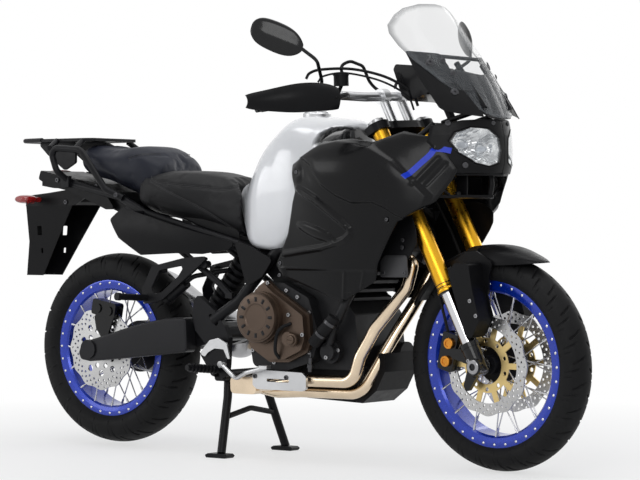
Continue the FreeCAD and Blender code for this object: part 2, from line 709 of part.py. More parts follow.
# Exhaust

PIPE_R = 19.5
pipe_a = tube([PORTS[0] + PORT_DIR * SEAT_GAP, PORTS[0] + PORT_DIR * 34, (500, -74, 552),
               (412, -120, 425),
               (374, -146, 340), (352, -150, 262), (130, -150, 260), (20, -150, 240),
               (-60, -128, 236)], PIPE_R, 60)
pipe_b = tube([PORTS[1] + PORT_DIR * SEAT_GAP, PORTS[1] + PORT_DIR * 34, (478, 20, 520),
               (430, -30, 412),
               (396, -66, 330), (352, -106, 224), (120, -108, 222), (20, -108, 216),
               (-60, -96, 226)], PIPE_R, 60)
collector = side_plate([(-130, 208), (-132, 262), (-40, 262), (-26, 250), (-26, 208)], -160, 120, 16)
MUF_A, MUF_B = V(-350, 232, 342), V(-860, 268, 548)
MUF_DIR = MUF_B - MUF_A
MUF_LEN = MUF_DIR.Length
MUF_DIR.normalize()
link = tube([(-90, 100, 236), (-100, 186, 245), (-236, 204, 246), MUF_A - MUF_DIR * 60,
             MUF_A], 21, 44)


def muffler_shape():
    d, length = MUF_DIR, MUF_LEN
    up = d.cross(V(0, 1, 0)) * -1
    up.normalize()
    side = V(0, 1, 0)
    sections = []
    for f, a, b in ((0.0, 30, 30), (0.05, 52, 60), (0.2, 58, 72), (0.75, 58, 74), (0.93, 52, 66),
                    (1.0, 40, 50)):
        c = MUF_A + d * (length * f)
        ring = []
        for i in range(16):
            t = 2 * math.pi * i / 16
            ex = 2 / 2.4
            ring.append(c + side * (a * math.copysign(abs(math.cos(t)) ** ex, math.cos(t)))
                        + up * (b * math.copysign(abs(math.sin(t)) ** ex, math.sin(t))))
        sections.append(ring)
    body = ring_loft(sections)
    tip = cyl(MUF_B - d * 5, MUF_B + d * 22, 24)
    body = join(body, tip)
    return body.cut(cyl(MUF_B - d * 60, MUF_B + d * 40, 20))


muffler = muffler_shape()
exhaust_pipes = join([pipe_a, pipe_b, collector, link.cut(muffler)])
guard_arc = side_plate([(-17, 284), (-8, 290), (180, 286), (196, 273), (196, 236), (180, 228),
                        (0, 228), (-17, 240)], -178, -188, 8)
guard_slot = side_plate([(40, 263), (40, 253), (128, 253), (128, 263)], -200, -150, 4)
guard_feet = [box(x, x + 10, -180, -160, 250, 262) for x in (16, 152)]
exhaust_guard = join([guard_arc] + guard_feet).cut([guard_slot, exhaust_pipes])

# Frame

AXIS_TOP = steer_point(0, 0, UPPER_YOKE_S - SEAT_GAP)
AXIS_LOW = steer_point(0, 0, LOWER_YOKE_S + YOKE_T + SEAT_GAP)
head_tube = cyl(AXIS_LOW, AXIS_TOP, 31).cut(cyl(steer_point(0, 0, 600), steer_point(0, 0, 900), 19))
spars = []
for s in (-1, 1):
    spars.append(tube([steer_point(-24, s * 12, 745), V(330, s * 110, 905), V(150, s * 138, 760),
                       V(20, s * 142, 640), V(-112, s * 132, 507), V(-222, s * 132, 440)],
                      18, 90))
    spars.append(tube([steer_point(-42, s * 14, 735), V(368, s * 142, 800), V(280, s * 148, 700),
                       V(60, s * 143, 668)], 13, 60))
    spars.append(tube([V(364, s * 142, 797), V(446, s * 146, 720), V(452, s * 146, 640)], 12, 30))
cross = [cyl_y(-112, 507, -140, 140, 17), cyl_y(318, 896, -112, 112, 12),
         cyl_y(30, 648, -142, 142, 12)]
pivot_plates = []
for s in (-1, 1):
    plate = side_plate([(-300, 505), (-283, 520), (-215, 472), (-174, 425), (-155, 384),
                        (-160, 300), (-168, 244), (-212, 244), (-222, 330), (-262, 372),
                        (-296, 406), (-309, 455)], s * 118, s * 140, 10)
    pivot_plates.append(plate.cut([cyl_y(-230, 452, -200, 200, 8), cyl_y(-206, 430, -200, 200, 8)]))
swing_pin = cyl_y(PIVOT.x, PIVOT.z, -140, 140, 13)
stand_pin = cyl_y(STAND_PIVOT.x, STAND_PIVOT.z, -140, 140, 9)
side_bracket = join(box(-10, 60, 100, 130, 215, 262),
                    cyl_y(SIDE_PIVOT.x, SIDE_PIVOT.z, 120, SIDE_PIVOT.y - 9 - RUN_GAP, 20),
                    cyl_y(SIDE_PIVOT.x, SIDE_PIVOT.z, 120, SIDE_PIVOT.y + 14, 7))
frame = join([head_tube] + spars + cross + pivot_plates + [swing_pin, stand_pin])
engine = join(engine, side_bracket)

# Swingarm, shaft drive, rear caliper and shock

axle_box = join(
    side_plate([(-790, 318), (-776, 352), (-740, 362), (-694, 374), (-538, 417), (-407, 443),
                (-318, 445), (-312, 335), (-407, 323), (-560, 308), (-740, 290), (-780, 296)],
               -164, -116, 14))
axle_box = axle_box.makeFillet(7, [e for e in axle_box.Edges
                                   if e.BoundBox.YMax < -163.5 or
                                   (e.BoundBox.YMin > -116.5 and e.BoundBox.ZMin > 1e5)])
knuckle = join(box(-404, -332, -118, 88, 356, 432),
               side_plate([(-404, 352), (-404, 434), (-300, 434), (-238, 428), (-238, 372),
                           (-300, 352)], -104, -60, 12),
               side_plate([(-404, 352), (-404, 434), (-300, 434), (-238, 428), (-238, 372),
                           (-300, 352)], 50, 88, 12),
               cyl_y(PIVOT.x, PIVOT.z, -106, 106, 32))
knuckle = knuckle.cut(cyl_y(PIVOT.x, PIVOT.z, -150, 150, 13 + SEAT_GAP))
rear_pin = cyl_y(REAR_AXLE.x, REAR_AXLE.z, -168, 96, 15).cut(
    cyl_y(REAR_AXLE.x, REAR_AXLE.z, -180, -100, 10))
axle_ring = cyl_y(REAR_AXLE.x, REAR_AXLE.z, -170, -112, 32)
swingarm = join(axle_box, knuckle, axle_ring, rear_pin)

shaft_tube = tube([(-640, 132, 345), (-420, 132, 378), (-318, 132, 392)], 40)
gear_case = join(cyl_y(REAR_AXLE.x, REAR_AXLE.z, 96, 168, 88),
                 cyl_y(REAR_AXLE.x, REAR_AXLE.z, 168, 178, 70),
                 cyl(V(-720, 140, 338), V(-600, 136, 352), 44, 40))
gear_case = gear_case.cut(cyl_y(REAR_AXLE.x, REAR_AXLE.z, 90, 98, 15 + SEAT_GAP))
lug = side_plate([(-404, 360), (-404, 430), (-336, 430), (-336, 360)], 88 + SEAT_GAP, 130, 8)
shaft_drive = join(shaft_tube, gear_case, lug)

rcal = caliper(-716, 466, REAR_AXLE, -R_DISC_Y, 8.0, 42, 104, 141, 52)
rcal_arm = side_plate([(-760, 440), (-700, 480), (-662, 462), (-690, 400), (-706, 366),
                       (-730, 370), (-752, 400)], -115.7, -108, 8)
rear_brake_caliper = join(rcal, rcal_arm)
shock = join(cyl(V(-318, 0, 470), V(-190, 0, 640), 24),
             [cyl(V(-318, 0, 470) + V(-190 + 318, 0, 170) * (k / 9.0) - V(3.6, 0, 4.8),
                  V(-318, 0, 470) + V(-190 + 318, 0, 170) * (k / 9.0) + V(3.6, 0, 4.8), 38)
              for k in range(1, 9)],
             cyl_y(-345, 434 + 24, -16, 16, 22), cyl(V(-345, 0, 458), V(-310, 0, 480), 12))
adjuster = join(cyl(V(-420, -122, 512), V(-350, -122, 560), 20),
                cyl(V(-432, -122, 504), V(-420, -122, 512), 23),
                tube([(-356, -122, 556), (-320, -120, 580), (-240, -40, 600), (-222, 0, 598)], 8, 30))
shock_top = cyl(V(-190, 0, 640), V(-150, 0, 690), 14)
rear_shock = join(shock, adjuster, shock_top)

# Rear subframe

subframe_parts = [box(-170, -130, -135, 135, 668, 700)]
for s in (-1, 1):
    subframe_parts.append(tube([(-60, s * 138, 668), (-130, s * 134, 690), (-520, s * 128, 788),
                                (-640, s * 122, 842), (-905, s * 112, 896)], 13, 90))
    subframe_parts.append(tube([(-150, s * 131, 517), (-200, s * 131, 560), (-470, s * 126, 728),
                                (-600, s * 124, 812)], 11, 60))
    subframe_parts.append(box(-168, -140, s * 120, s * 142, 512, 530) if s > 0 else
                          box(-168, -140, -142, -120, 512, 530))
subframe_parts += [cyl_y(-420, 738, -128, 128, 9), cyl_y(-880, 890, -112, 112, 9),
                   cyl_y(-640, 842, -122, 122, 9)]
subframe = join(subframe_parts)
subframe = subframe.cut(frame)
subframe = max(subframe.Solids, key=lambda q: q.Volume)
rear_shock = join(rear_shock).cut(subframe)
rear_shock = max(rear_shock.Solids, key=lambda q: q.Volume)

# Fuel tank

tank_sections = [
    oval_x(-176, 62, 800, 898, 2.4, belly=0.4),
    oval_x(-128, 112, 730, 962, 2.5, belly=0.35, low=3.5),
    oval_x(-62, 160, 676, 1036, 2.5, belly=0.42, low=6),
    oval_x(10, 181, 664, 1104, 2.5, belly=0.5, low=8),
    oval_x(100, 190, 676, 1122, 2.5, belly=0.55, low=8),
    oval_x(190, 192, 740, 1120, 2.5, belly=0.5, low=5),
    oval_x(258, 168, 830, 1104, 2.4, belly=0.5, low=4),
    oval_x(296, 120, 900, 1080, 2.3, belly=0.5)]
tank_solid = ring_loft(tank_sections)
spar_room = [side_plate([(400, 1000), (420, 900), (300, 780), (170, 690), (40, 600), (-80, 600),
                         (-60, 668), (60, 740), (160, 820), (310, 940)], s * 60, s * 166)
             for s in (-1, 1)]
tank_body = tank_solid.cut([box(-400, 60, -128, 128, 500, 822),
                            box(40, 400, -146, 146, 500, 900)] + spar_room)
tank_body = max(tank_body.Solids, key=lambda q: q.Volume)
cap_ring = cyl(V(96, 0, 1108), V(98, 0, 1131), 44)
tank_lid = cyl(V(98, 0, 1129), V(98, 0, 1136), 36)
fuel_tank = join(tank_body, cap_ring, tank_lid)

# Seats

rider_sections = [
    oval_x(-560, 118, 812, SEAT_TOP - 24, 2.8, belly=0.45),
    oval_x(-540, 150, 800, SEAT_TOP - 8, 3.0, belly=0.55),
    oval_x(-470, 172, 782, SEAT_TOP + 3, 3.0, belly=0.62),
    oval_x(-380, 172, 762, SEAT_TOP + 2, 3.0, belly=0.62),
    oval_x(-290, 156, 742, SEAT_TOP - 5, 2.9, belly=0.55),
    oval_x(-210, 146, 722, SEAT_TOP - 20, 2.8, belly=0.45),
    oval_x(-140, 148, 708, SEAT_TOP - 24, 2.8, belly=0.42),
    oval_x(-104, 150, 704, SEAT_TOP - 32, 2.8, belly=0.42)]
rider_seat = ring_loft(rider_sections)
passenger_sections = [
    oval_x(-842, 96, 930, 1008, 2.8, belly=0.5),
    oval_x(-815, 128, 918, 1018, 3.0, belly=0.55),
    oval_x(-730, 148, 902, 1006, 3.0, belly=0.55),
    oval_x(-640, 156, 872, 1004, 3.0, belly=0.55),
    oval_x(-565, 150, 842, 1008, 3.0, belly=0.6),
    oval_x(-505, 138, 832, 988, 3.0, belly=0.6),
    oval_x(-462, 104, 880, 955, 2.6, belly=0.6)]
passenger_seat = ring_loft(passenger_sections)
tank_back = tank_solid.copy()
tank_back.translate(V(-0.8, 0, 0))
pad_front = passenger_seat.copy()
pad_front.translate(V(0.6, 0, -0.6))
rider_seat = rider_seat.cut([tank_back, pad_front, box(-900, -560, -300, 300, 700, 1100)])
rider_seat = max(rider_seat.Solids, key=lambda q: q.Volume)

# Side fairings: a smooth skin through a grid of half widths

FAIR_X = [40, 130, 220, 320, 420, 520, 620, 700, 790]
FAIR_Z = [490, 600, 700, 800, 880, 950, 1010, 1060]
FAIR_HALF = [
    [178, 182, 186, 188, 186, 180, 172, 165, 150],
    [180, 188, 198, 206, 206, 200, 190, 175, 155],
    [182, 196, 214, 228, 232, 226, 208, 188, 160],
    [184, 204, 232, 250, 254, 246, 224, 198, 165],
    [184, 208, 240, 258, 262, 252, 228, 200, 166],
    [182, 200, 232, 252, 256, 246, 222, 196, 162],
    [170, 182, 206, 224, 230, 224, 204, 182, 150],
    [150, 155, 165, 178, 185, 184, 176, 160, 135]]
FAIR_OUTLINE = [(180, 852), (162, 816), (130, 720), (85, 645), (74, 623), (96, 588), (327, 514),
                (349, 517), (466, 576), (487, 632), (575, 760), (590, 764), (693, 817),
                (744, 885), (762, 915), (702, 997), (678, 1012), (600, 1027), (575, 1033),
                (485, 1000), (402, 1012), (289, 1004), (207, 958), (160, 936)]


def fairing_skin(offset=0.0):
    grid = [[V(x, -(FAIR_HALF[k][i] + offset), FAIR_Z[k]) for k in range(len(FAIR_Z))]
            for i, x in enumerate(FAIR_X)]
    surf = Part.BSplineSurface()
    surf.interpolate(grid)
    return surf.toShape()


FAIR_T = 4.0
skin = fairing_skin()
fair_plain = skin.extrude(V(0, FAIR_T, 0)).common(side_plate(FAIR_OUTLINE, -60, -400, 10))
fair_plain = max(fair_plain.Solids, key=lambda q: q.Volume)
fair_studs = [stud(V(372, -145, 793), V(0, -1, 0), fair_plain, 9),
              stud(V(200, -148, 688), V(0, -1, 0), fair_plain, 8)]
fairing_right = fair_plain
vent = side_plate([(290, 600), (300, 786), (440, 800), (470, 640)], 60, 400, 22)
louvres = []
fair_left_plain = mirror_y(fair_plain)
for k in range(4):
    z = 640 + 38 * k
    louvres.append(side_plate([(270, z), (270, z + 6), (500, z + 6), (500, z)], 60, 400).common(
        mirror_y(skin.extrude(V(0, FAIR_T + 14, 0)).common(side_plate(FAIR_OUTLINE, -60, -400, 10)))))
fairing_left = fair_left_plain.cut(vent)
fairing_left = join([fairing_left] + louvres)
core = box(300, 440, 165, 185, 612, 786)
radiator = join(core, box(296, 304, 162.5, 187.5, 606, 792), box(436, 444, 162.5, 187.5, 606, 792),
                tube([(430, 175, 770), (400, 150, 800), (372, 100, 806)], 13, 20))


# Nose, lamps, screen and its mount

NOSE_C = [(700, 735), (765, 780), (835, 806), (905, 834), (930, 842), (975, 846), (1020, 840),
          (1060, 832), (1100, 815)]


def nose_depth(y, z):
    ay = abs(y)
    return along(NOSE_C, z) - 0.0026 * ay * ay - 0.000011 * ay ** 3


NOSE_OUT = [(-172, 905), (172, 905), (182, 985), (168, 1048), (120, 1064), (60, 1066),
            (-60, 1066), (-120, 1064), (-168, 1048), (-182, 985)]
LAMP = [(-152, 1000), (-140, 1030), (-108, 1046), (-60, 1040), (-22, 1010), (-17, 975),
        (-22, 938), (-60, 928), (-100, 938), (-140, 968)]
nose_skin = front_panel(nose_depth, (-200, 200), (880, 1110), 13, 9, NOSE_OUT, 6.0, 6)
lamp_masks = [cross_plate([(s * y, z) for y, z in LAMP], 500, 1000, 10) for s in (1, -1)]
nose_cowl = nose_skin.cut(lamp_masks)


def lamp_depth(y, z):
    return nose_depth(y, z) - 1.5


def lamp_cut(s, k):
    cy, cz = -88.0, 985.0
    return [(s * (cy + (y - cy) * k), cz + (z - cz) * k) for y, z in LAMP]


lens, bowls = [], []
for s in (1, -1):
    lens.append(front_panel(lamp_depth, (-200, 200), (900, 1080), 13, 7, lamp_cut(s, 0.985),
                            3.0, 9))
    outer = cross_plate(lamp_cut(s, 0.98), 640, 900, 9)
    inner = cross_plate(lamp_cut(s, 0.93), 652, 900, 9)
    skin_cut = front_panel(lambda y, z: nose_depth(y, z) - 4.8, (-200, 200), (900, 1080), 13, 7,
                           [(-190, 905), (190, 905), (190, 1075), (-190, 1075)], 400.0, 0)
    bowls.append(outer.cut(inner).common(skin_cut))
headlights = group(lens)
lamp_bowls = join(bowls)

SCREEN_C = [(1060, 842), (1100, 815), (1149, 780), (1194, 747), (1251, 704), (1331, 639),
            (1388, 594), (1432, 552)]
SCREEN_BOW = 0.0027


def screen_depth(y, z):
    zz = max(SCREEN_C[0][0], min(z, SCREEN_C[-1][0]))
    for (z0, x0), (z1, x1) in zip(SCREEN_C, SCREEN_C[1:]):
        if zz <= z1:
            xc = x0 + (x1 - x0) * (zz - z0) / (z1 - z0)
            break
    return xc - SCREEN_BOW * y * y


SCREEN_OUT = [(0, 1432), (70, 1428), (130, 1412), (165, 1390), (196, 1358), (204, 1330),
              (202, 1290), (190, 1240), (160, 1180), (118, 1120), (70, 1080), (30, 1070),
              (0, 1070)]
screen_outline = SCREEN_OUT + [(-y, z) for y, z in reversed(SCREEN_OUT[1:-1])]
windscreen = front_panel(screen_depth, (-215, 215), (1062, 1432), 13, 9, screen_outline, 3.5, 14)


MOUNT_BACK = 5.0


def mount_depth(y, z):
    return screen_depth(y, z) - MOUNT_BACK


WING = [(-192, 1275), (-198, 1218), (-199, 1182), (-195, 1100), (-186, 1088), (-150, 1080),
        (-95, 1072), (-108, 1130), (-121, 1186), (-112, 1230), (-115, 1268)]
wings = []
for s in (1, -1):
    wings.append(front_panel(mount_depth, (-215, 215), (1062, 1432), 13, 9,
                             [(s * y, z) for y, z in WING], 4.0, 6))
bar_x = mount_depth(135, 1262)
cross_bar = cyl_y(bar_x - 9, 1262, -140, 140, 6)
rails = []
for s in (1, -1):
    rails.append(cyl(V(mount_depth(s * 70, 1100) - 12, s * 70, 1100),
                     V(mount_depth(s * 70, 1240) - 12, s * 70, 1240), 9))
    rails.append(cyl(V(mount_depth(s * 70, 1150) - 12, s * 70, 1150),
                     V(mount_depth(s * 114, 1150) - 8, s * 114, 1150), 6))
STAY_X, STAY_Z = 630.7, 1050.0
for s in (1, -1):
    rails.append(cyl(V(mount_depth(s * 70, 1100) - 12, s * 70, 1100),
                     V(STAY_X, s * 70, STAY_Z + 9 + SEAT_GAP), 8))
screen_mount = join(wings + [cross_bar] + rails)

instrument = side_plate([(590, 1150), (520, 1128), (494, 1146), (462, 1228), (470, 1244),
                         (560, 1236), (600, 1190)], -92, 92, 10)
stay = join(cyl_y(STAY_X, STAY_Z, -128, 128, 9),
            tube([(560, 0, 1160), (600, 0, 1110), (STAY_X, 0, STAY_Z)], 13, 40),
            [tube([(STAY_X, s * 124, STAY_Z), (596, s * 176, 1000), (500, s * 186, 900),
                   (420, s * 182, 830), (376, s * 158, 796)], 9, 40) for s in (-1, 1)],
            [ball(V(STAY_X, s * 124, STAY_Z), 10.5) for s in (-1, 1)])
stay = stay.cut(instrument)

# Side covers and frame covers

COVER_X = [-660, -560, -440, -320, -200, -60]
COVER_Z = [620, 680, 740, 820]
COVER_HALF = [[150, 168, 176, 178, 174, 170], [172, 190, 196, 196, 184, 174],
              [178, 196, 200, 196, 184, 176], [168, 178, 180, 178, 176, 172]]
cover_surf = Part.BSplineSurface()
cover_surf.interpolate([[V(x, -COVER_HALF[k][i], COVER_Z[k]) for k in range(4)]
                        for i, x in enumerate(COVER_X)])
side_cover = cover_surf.toShape().extrude(V(0, 4, 0)).common(
    side_plate([(-627, 766), (-573, 806), (-442, 774), (-364, 752), (-100, 690), (-133, 668),
                (-229, 654), (-334, 656), (-490, 649), (-582, 705)], -60, -400, 8))
frame_cover = side_plate([(-108, 704), (-20, 672), (52, 640), (10, 584), (-54, 552), (-80, 630)],
                         -174, -166, 12)
cover_peg = cyl_y(10, 628, -168, -150, 9).cut(frame)
cover_peg = min(cover_peg.Solids, key=lambda q: q.CenterOfMass.y)
covers_r = group(side_cover, join(frame_cover, cover_peg))
cover_studs = [stud(V(-520, -128, 788), V(0, -1, 0), side_cover, 7),
               stud(V(-200, -131, 700), V(0, -1, 0), side_cover, 7)]
subframe = join([subframe] + [q for c in cover_studs for q in both(c)])
frame = join([frame] + [q for c in fair_studs for q in both(c)])
stay = stay.cut(frame)
stay = max(stay.Solids, key=lambda q: q.Volume)
radiator = radiator.cut([engine, frame, stay])
radiator = max(radiator.Solids, key=lambda q: q.Volume)
screen_mount = screen_mount.cut(stay)
screen_mount = max(screen_mount.Solids, key=lambda q: q.Volume)
fuel_tank = join([fuel_tank] + both(stud(V(190, -160, 915), V(0, -1, 0), fair_plain, 9)))
side_covers = group(covers_r, mirror_y(covers_r))

# Rack with grab rails

rack_top = flat_plate([(-1112, -92), (-1120, -60), (-1122, 0), (-1120, 60), (-1112, 92),
                       (-1000, 122), (-800, 122), (-768, 108), (-768, -108), (-800, -122),
                       (-1000, -122)], RACK_Z - 10, RACK_Z, 14)
slots = [flat_plate([(-1080, y - 9), (-1080, y + 9), (-840, y + 9), (-840, y - 9)],
                    RACK_Z - 20, RACK_Z + 5, 9) for y in (-66, -34, 34, 66)]
slots += [flat_plate([(-1060, s * 92), (-1000, s * 108), (-830, s * 108), (-830, s * 88),
                      (-1050, s * 84)], RACK_Z - 20, RACK_Z + 5, 6) for s in (-1, 1)]
RACK_HOLES = [(-800, -50), (-800, 50), (-1040, -50), (-1040, 50)]
bolt_holes = [cyl(V(x, y, RACK_Z - 20), V(x, y, RACK_Z + 5), 3.3) for x, y in RACK_HOLES]
rack_rim = tube([(-1000, -117, RACK_Z - 4), (-1110, -92, RACK_Z - 4), (-1119, 0, RACK_Z - 4),
                 (-1110, 92, RACK_Z - 4), (-1000, 117, RACK_Z - 4)], 8, 24)
rack_feet = []
for s in (-1, 1):
    rack_feet.append(side_plate([(-1060, RACK_Z - 8), (-880, RACK_Z - 8), (-880, 960),
                                 (-930, 935), (-1010, 990)], s * 70, s * 80, 10))
grab = []
for s in (-1, 1):
    grab.append(tube([(-872, s * 132, 902), (-884, s * 168, 930), (-912, s * 172, 1010),
                      (-770, s * 172, 1000), (-672, s * 158, 868), (-612, s * 136, 838)], 11, 34))
    grab.append(tube([(-912, s * 171, 1008), (-930, s * 118, RACK_Z - 8)], 10))
    grab.append(tube([(-800, s * 171, 1000), (-812, s * 116, RACK_Z - 9)], 10))
    grab.append(box(-890, -856, s * 132 - 8, s * 132 + 8, 876, 914))
rack = join([rack_top, rack_rim] + rack_feet + grab).cut(slots + bolt_holes + [subframe])
rack = max(rack.Solids, key=lambda q: q.Volume)

# Tail, plate bracket and lamps

tail_body = side_plate([(-575, 826), (-640, 858), (-756, 888), (-880, 908), (-1011.7, 934),
                        (-1011.7, 882), (-960, 874), (-844, 868), (-700, 806), (-620, 778),
                        (-575, 772)], -104, 104, [10, 10, 10, 10, 0, 0, 10, 10, 10, 10, 10])
tail_hollow = side_plate([(-560, 800), (-640, 846), (-760, 876), (-960, 908), (-960, 890),
                          (-844, 876), (-700, 818), (-560, 770)], -100, 100, 6)
tail_body = tail_body.cut(tail_hollow)
tail_arms = [side_plate([(-1010, 905), (-1000, 935), (-860, 905), (-700, 850), (-660, 800),
                         (-700, 800), (-860, 862), (-960, 880)], s * 104, s * 124, 8)
             for s in (-1, 1)]
PLATE_ROWS = [(573, -1136, -1060, 50), (690, -1113, -985, 62), (822, -1117, -897, 75)]


def plate_channel(rows, inset):
    """Tapered box through level sections: height, rear edge, front edge and half width."""
    wires = []
    for z, x0, x1, half in rows:
        x0, x1, half = x0 + inset, x1 + 30 * inset, half - inset
        wires.append(Part.makePolygon([V(x0, -half, z), V(x1, -half, z), V(x1, half, z),
                                       V(x0, half, z), V(x0, -half, z)]))
    return Part.makeLoft(wires, True, True)


plate_room = [(PLATE_ROWS[0][0] - 2,) + PLATE_ROWS[0][1:], PLATE_ROWS[1],
              (PLATE_ROWS[2][0] + 2,) + PLATE_ROWS[2][1:]]
plate_holder = plate_channel(PLATE_ROWS, 0).cut(plate_channel(plate_room, 4))
plate_roof = side_plate([(-1117, 818), (-1050, 822), (-960, 846), (-905, 872), (-885, 868),
                         (-885, 826), (-897, 816), (-1117, 812)], -75, 75, 2)
plate_cheeks = [side_plate([(-1117, 822), (-1098, 850), (-1010, 858), (-890, 872), (-820, 850),
                            (-885, 816), (-897, 814)], s * 71, s * 75, 4) for s in (-1, 1)]
plate_slots = [side_plate([(x, z), (x, z + h), (x + w, z + h), (x + w, z)], -90, 90, 3)
               for x, z, w, h in ((-1072, 712, 22, 32), (-1062, 650, 12, 18))]
plate_parts = [plate_holder.cut(plate_slots), plate_roof] + plate_cheeks
tail_unit = join([tail_body] + tail_arms + plate_parts)
tail_unit = tail_unit.cut([subframe, rack, passenger_seat])
tail_unit = max(tail_unit.Solids, key=lambda q: q.Volume)

lamp_body = ring_loft([oval_x(-1052, 34, 896, 924, 2.6), oval_x(-1046, 52, 884, 934, 2.8),
                       oval_x(-1012, 62, 880, 938, 2.8)])
lamp_body = lamp_body.cut(side_plate([(-1011, 860), (-1011, 950), (-900, 950), (-900, 860)],
                                     -100, 100))
indicators = []
for s in (-1, 1):
    stalk = cyl_y(-1052, 835, s * (75 + SEAT_GAP), s * 112, 9)
    pod = ring_loft([[V(-1060 + 34 * w * math.cos(2 * math.pi * i / 12), s * yy,
                        836 + 15 * w * math.sin(2 * math.pi * i / 12)) for i in range(12)]
                     for yy, w in ((104, 0.5), (112, 0.9), (135, 1.0), (158, 0.86), (168, 0.45))])
    indicators.append(join(stalk, pod))
tail_lamps = group(lamp_body, *indicators)

# Footrests

rider_rests = []
for s in (-1, 1):
    bracket = side_plate([(-262, 330), (-228, 372), (-178, 372), (-150, 330), (-148, 262),
                          (-176, 250), (-214, 262), (-236, 296)], s * (140 + SEAT_GAP), s * 156, 12)
    bracket = bracket.cut(cyl_y(STAND_PIVOT.x, STAND_PIVOT.z, -300, 300, 11))
    peg = cyl(V(-184, s * 154, 283), V(-204, s * 290, 294), 9)
    plate = join(peg, [cyl(V(-184 - 20 * k / 8.0, s * (168 + 15 * k), 283 + 11 * k / 8.0),
                           V(-184 - 20 * (k + 0.45) / 8.0, s * (168 + 15 * (k + 0.45)),
                             283 + 11 * (k + 0.45) / 8.0), 14) for k in range(8)])
    rider_rests.append(join(bracket, plate))
rider_footrests = group(rider_rests)
heel_guards = []
for s in (-1, 1):
    heel = side_plate([(-256, 330), (-240, 352), (-216, 376), (-180, 384), (-146, 368),
                       (-132, 318), (-142, 318), (-158, 348), (-196, 350), (-224, 336),
                       (-236, 322)], s * (156 + SEAT_GAP), s * 162, 8)
    heel_guards.append(heel)
heel_guards = group(heel_guards)

passenger_rests = []
for s in (-1, 1):
    outline = [(-229, 640), (-250, 646), (-330, 640), (-464, 612), (-507, 533), (-500, 490),
               (-478, 488), (-420, 502), (-330, 566)]
    hole = [(-320, 618), (-430, 600), (-466, 540), (-452, 520), (-420, 528), (-350, 580)]
    arm = side_plate(outline, s * 148, s * 162, 12).cut(side_plate(hole, s * 100, s * 200, 10))
    boss = [cyl_y(-250, 620, s * 126, s * 150, 12), cyl_y(-440, 600, s * 120, s * 150, 10)]
    peg = cyl(V(-488, s * 160, 508), V(-505, s * 272, 514), 11)
    tip = cyl(V(-505, s * 272, 514), V(-507, s * 286, 515), 13)
    passenger_rests.append(join([arm] + boss + [peg, tip]))
passenger_footrests = group(passenger_rests)

brake_pedal = join(cyl_y(-160, 300, -178, -156 - SEAT_GAP, 11),
                   tube([(-160, -170, 300), (-90, -182, 256), (-26, -210, 280), (60, -216, 300)], 7, 40),
                   flat_plate([(44, -238), (44, -206), (76, -206), (76, -238)], 296, 306, 6))
gear_lever = join(cyl_y(-160, 300, 156 + SEAT_GAP, 178, 11),
                  tube([(-160, 170, 300), (-90, 186, 282), (-10, 200, 296), (20, 206, 300)], 7, 40),
                  cyl_y(22, 300, 196, 250, 9))
pedals = group(brake_pedal, gear_lever)

# Stands

stand_parts = [cyl_y(STAND_PIVOT.x, STAND_PIVOT.z, -106, 106, 17).cut(
    cyl_y(STAND_PIVOT.x, STAND_PIVOT.z, -150, 150, 9 + RUN_GAP))]
for s in (-1, 1):
    stand_parts.append(tube([(-190, s * 98, 250), (-186, s * 106, 190), (-162, s * 168, 14)], 14, 60))
    stand_parts.append(side_plate([(-206, 0), (-128, 0), (-120, 8), (-130, 14), (-200, 14),
                                   (-212, 8)], s * 150, s * 192, 3))
stand_parts.append(tube([(-176, 112, 130), (-176, 0, 150), (-176, -112, 130)], 9, 60))
stand_parts.append(tube([(-166, 172, 12), (-190, 200, 20), (-216, 214, 30)], 7, 20))
centre_stand = join(stand_parts)
centre_stand = centre_stand.cut(cyl_y(STAND_PIVOT.x, STAND_PIVOT.z, -150, 150, 9 + RUN_GAP))

side_leg = join(cyl_y(SIDE_PIVOT.x, SIDE_PIVOT.z, SIDE_PIVOT.y - 9, SIDE_PIVOT.y + 9, 19),
                tube([(SIDE_PIVOT.x, SIDE_PIVOT.y, SIDE_PIVOT.z), (-40, SIDE_PIVOT.y + 22, 216),
                      (-186, SIDE_PIVOT.y + 58, 187)], 11, 60),
                side_plate([(-214, 170), (-214, 204), (-204, 209), (-182, 204), (-182, 174)],
                           SIDE_PIVOT.y + 42, SIDE_PIVOT.y + 74, 6))
side_stand = side_leg.cut(cyl_y(SIDE_PIVOT.x, SIDE_PIVOT.z, 100, 260, 7 + RUN_GAP))

# Hoses between the bars and the brakes, held by the steering all the way

hose_a = tube([steer_point(72, -214, 958), (372, -214, 1246), (384, -180, 1262),
               (376, -110, 1246), (356, -56, 1190), steer_point(74, -30, 880),
               steer_point(74, -26, 790), steer_point(56, -20, 720),
               steer_point(56, -20, LOWER_YOKE_S + YOKE_T + SEAT_GAP)], 5, 40)
hose_b = tube([steer_point(60, 214, 950), (366, 206, 1226), (376, 170, 1238),
               (370, 100, 1226), (356, 50, 1180), steer_point(78, 30, 880),
               steer_point(74, 26, 790), steer_point(56, 20, 720),
               steer_point(56, 20, LOWER_YOKE_S + YOKE_T + SEAT_GAP)], 5, 40)
bar_room = tube(bar_pts, BAR_R + SEAT_GAP, 90)
hoses = []
for s in (-1, 1):
    hoses.append(tube([steer_point(8, s * 44, LOWER_YOKE_S - 8 - SEAT_GAP),
                       steer_point(2, s * 60, 590), steer_point(-4, s * 83, 470),
                       steer_point(-6, s * 83, 300), (668, s * 80, 408)], 4.5, 60))
hoses = [max(h.cut([handlebar, grips_controls, reservoir, yokes, cal, mirror_y(cal)]).Solids,
             key=lambda q: q.Volume) for h in [hose_a, hose_b] + hoses]
hoses = group(hoses)

# Skid plate and beak

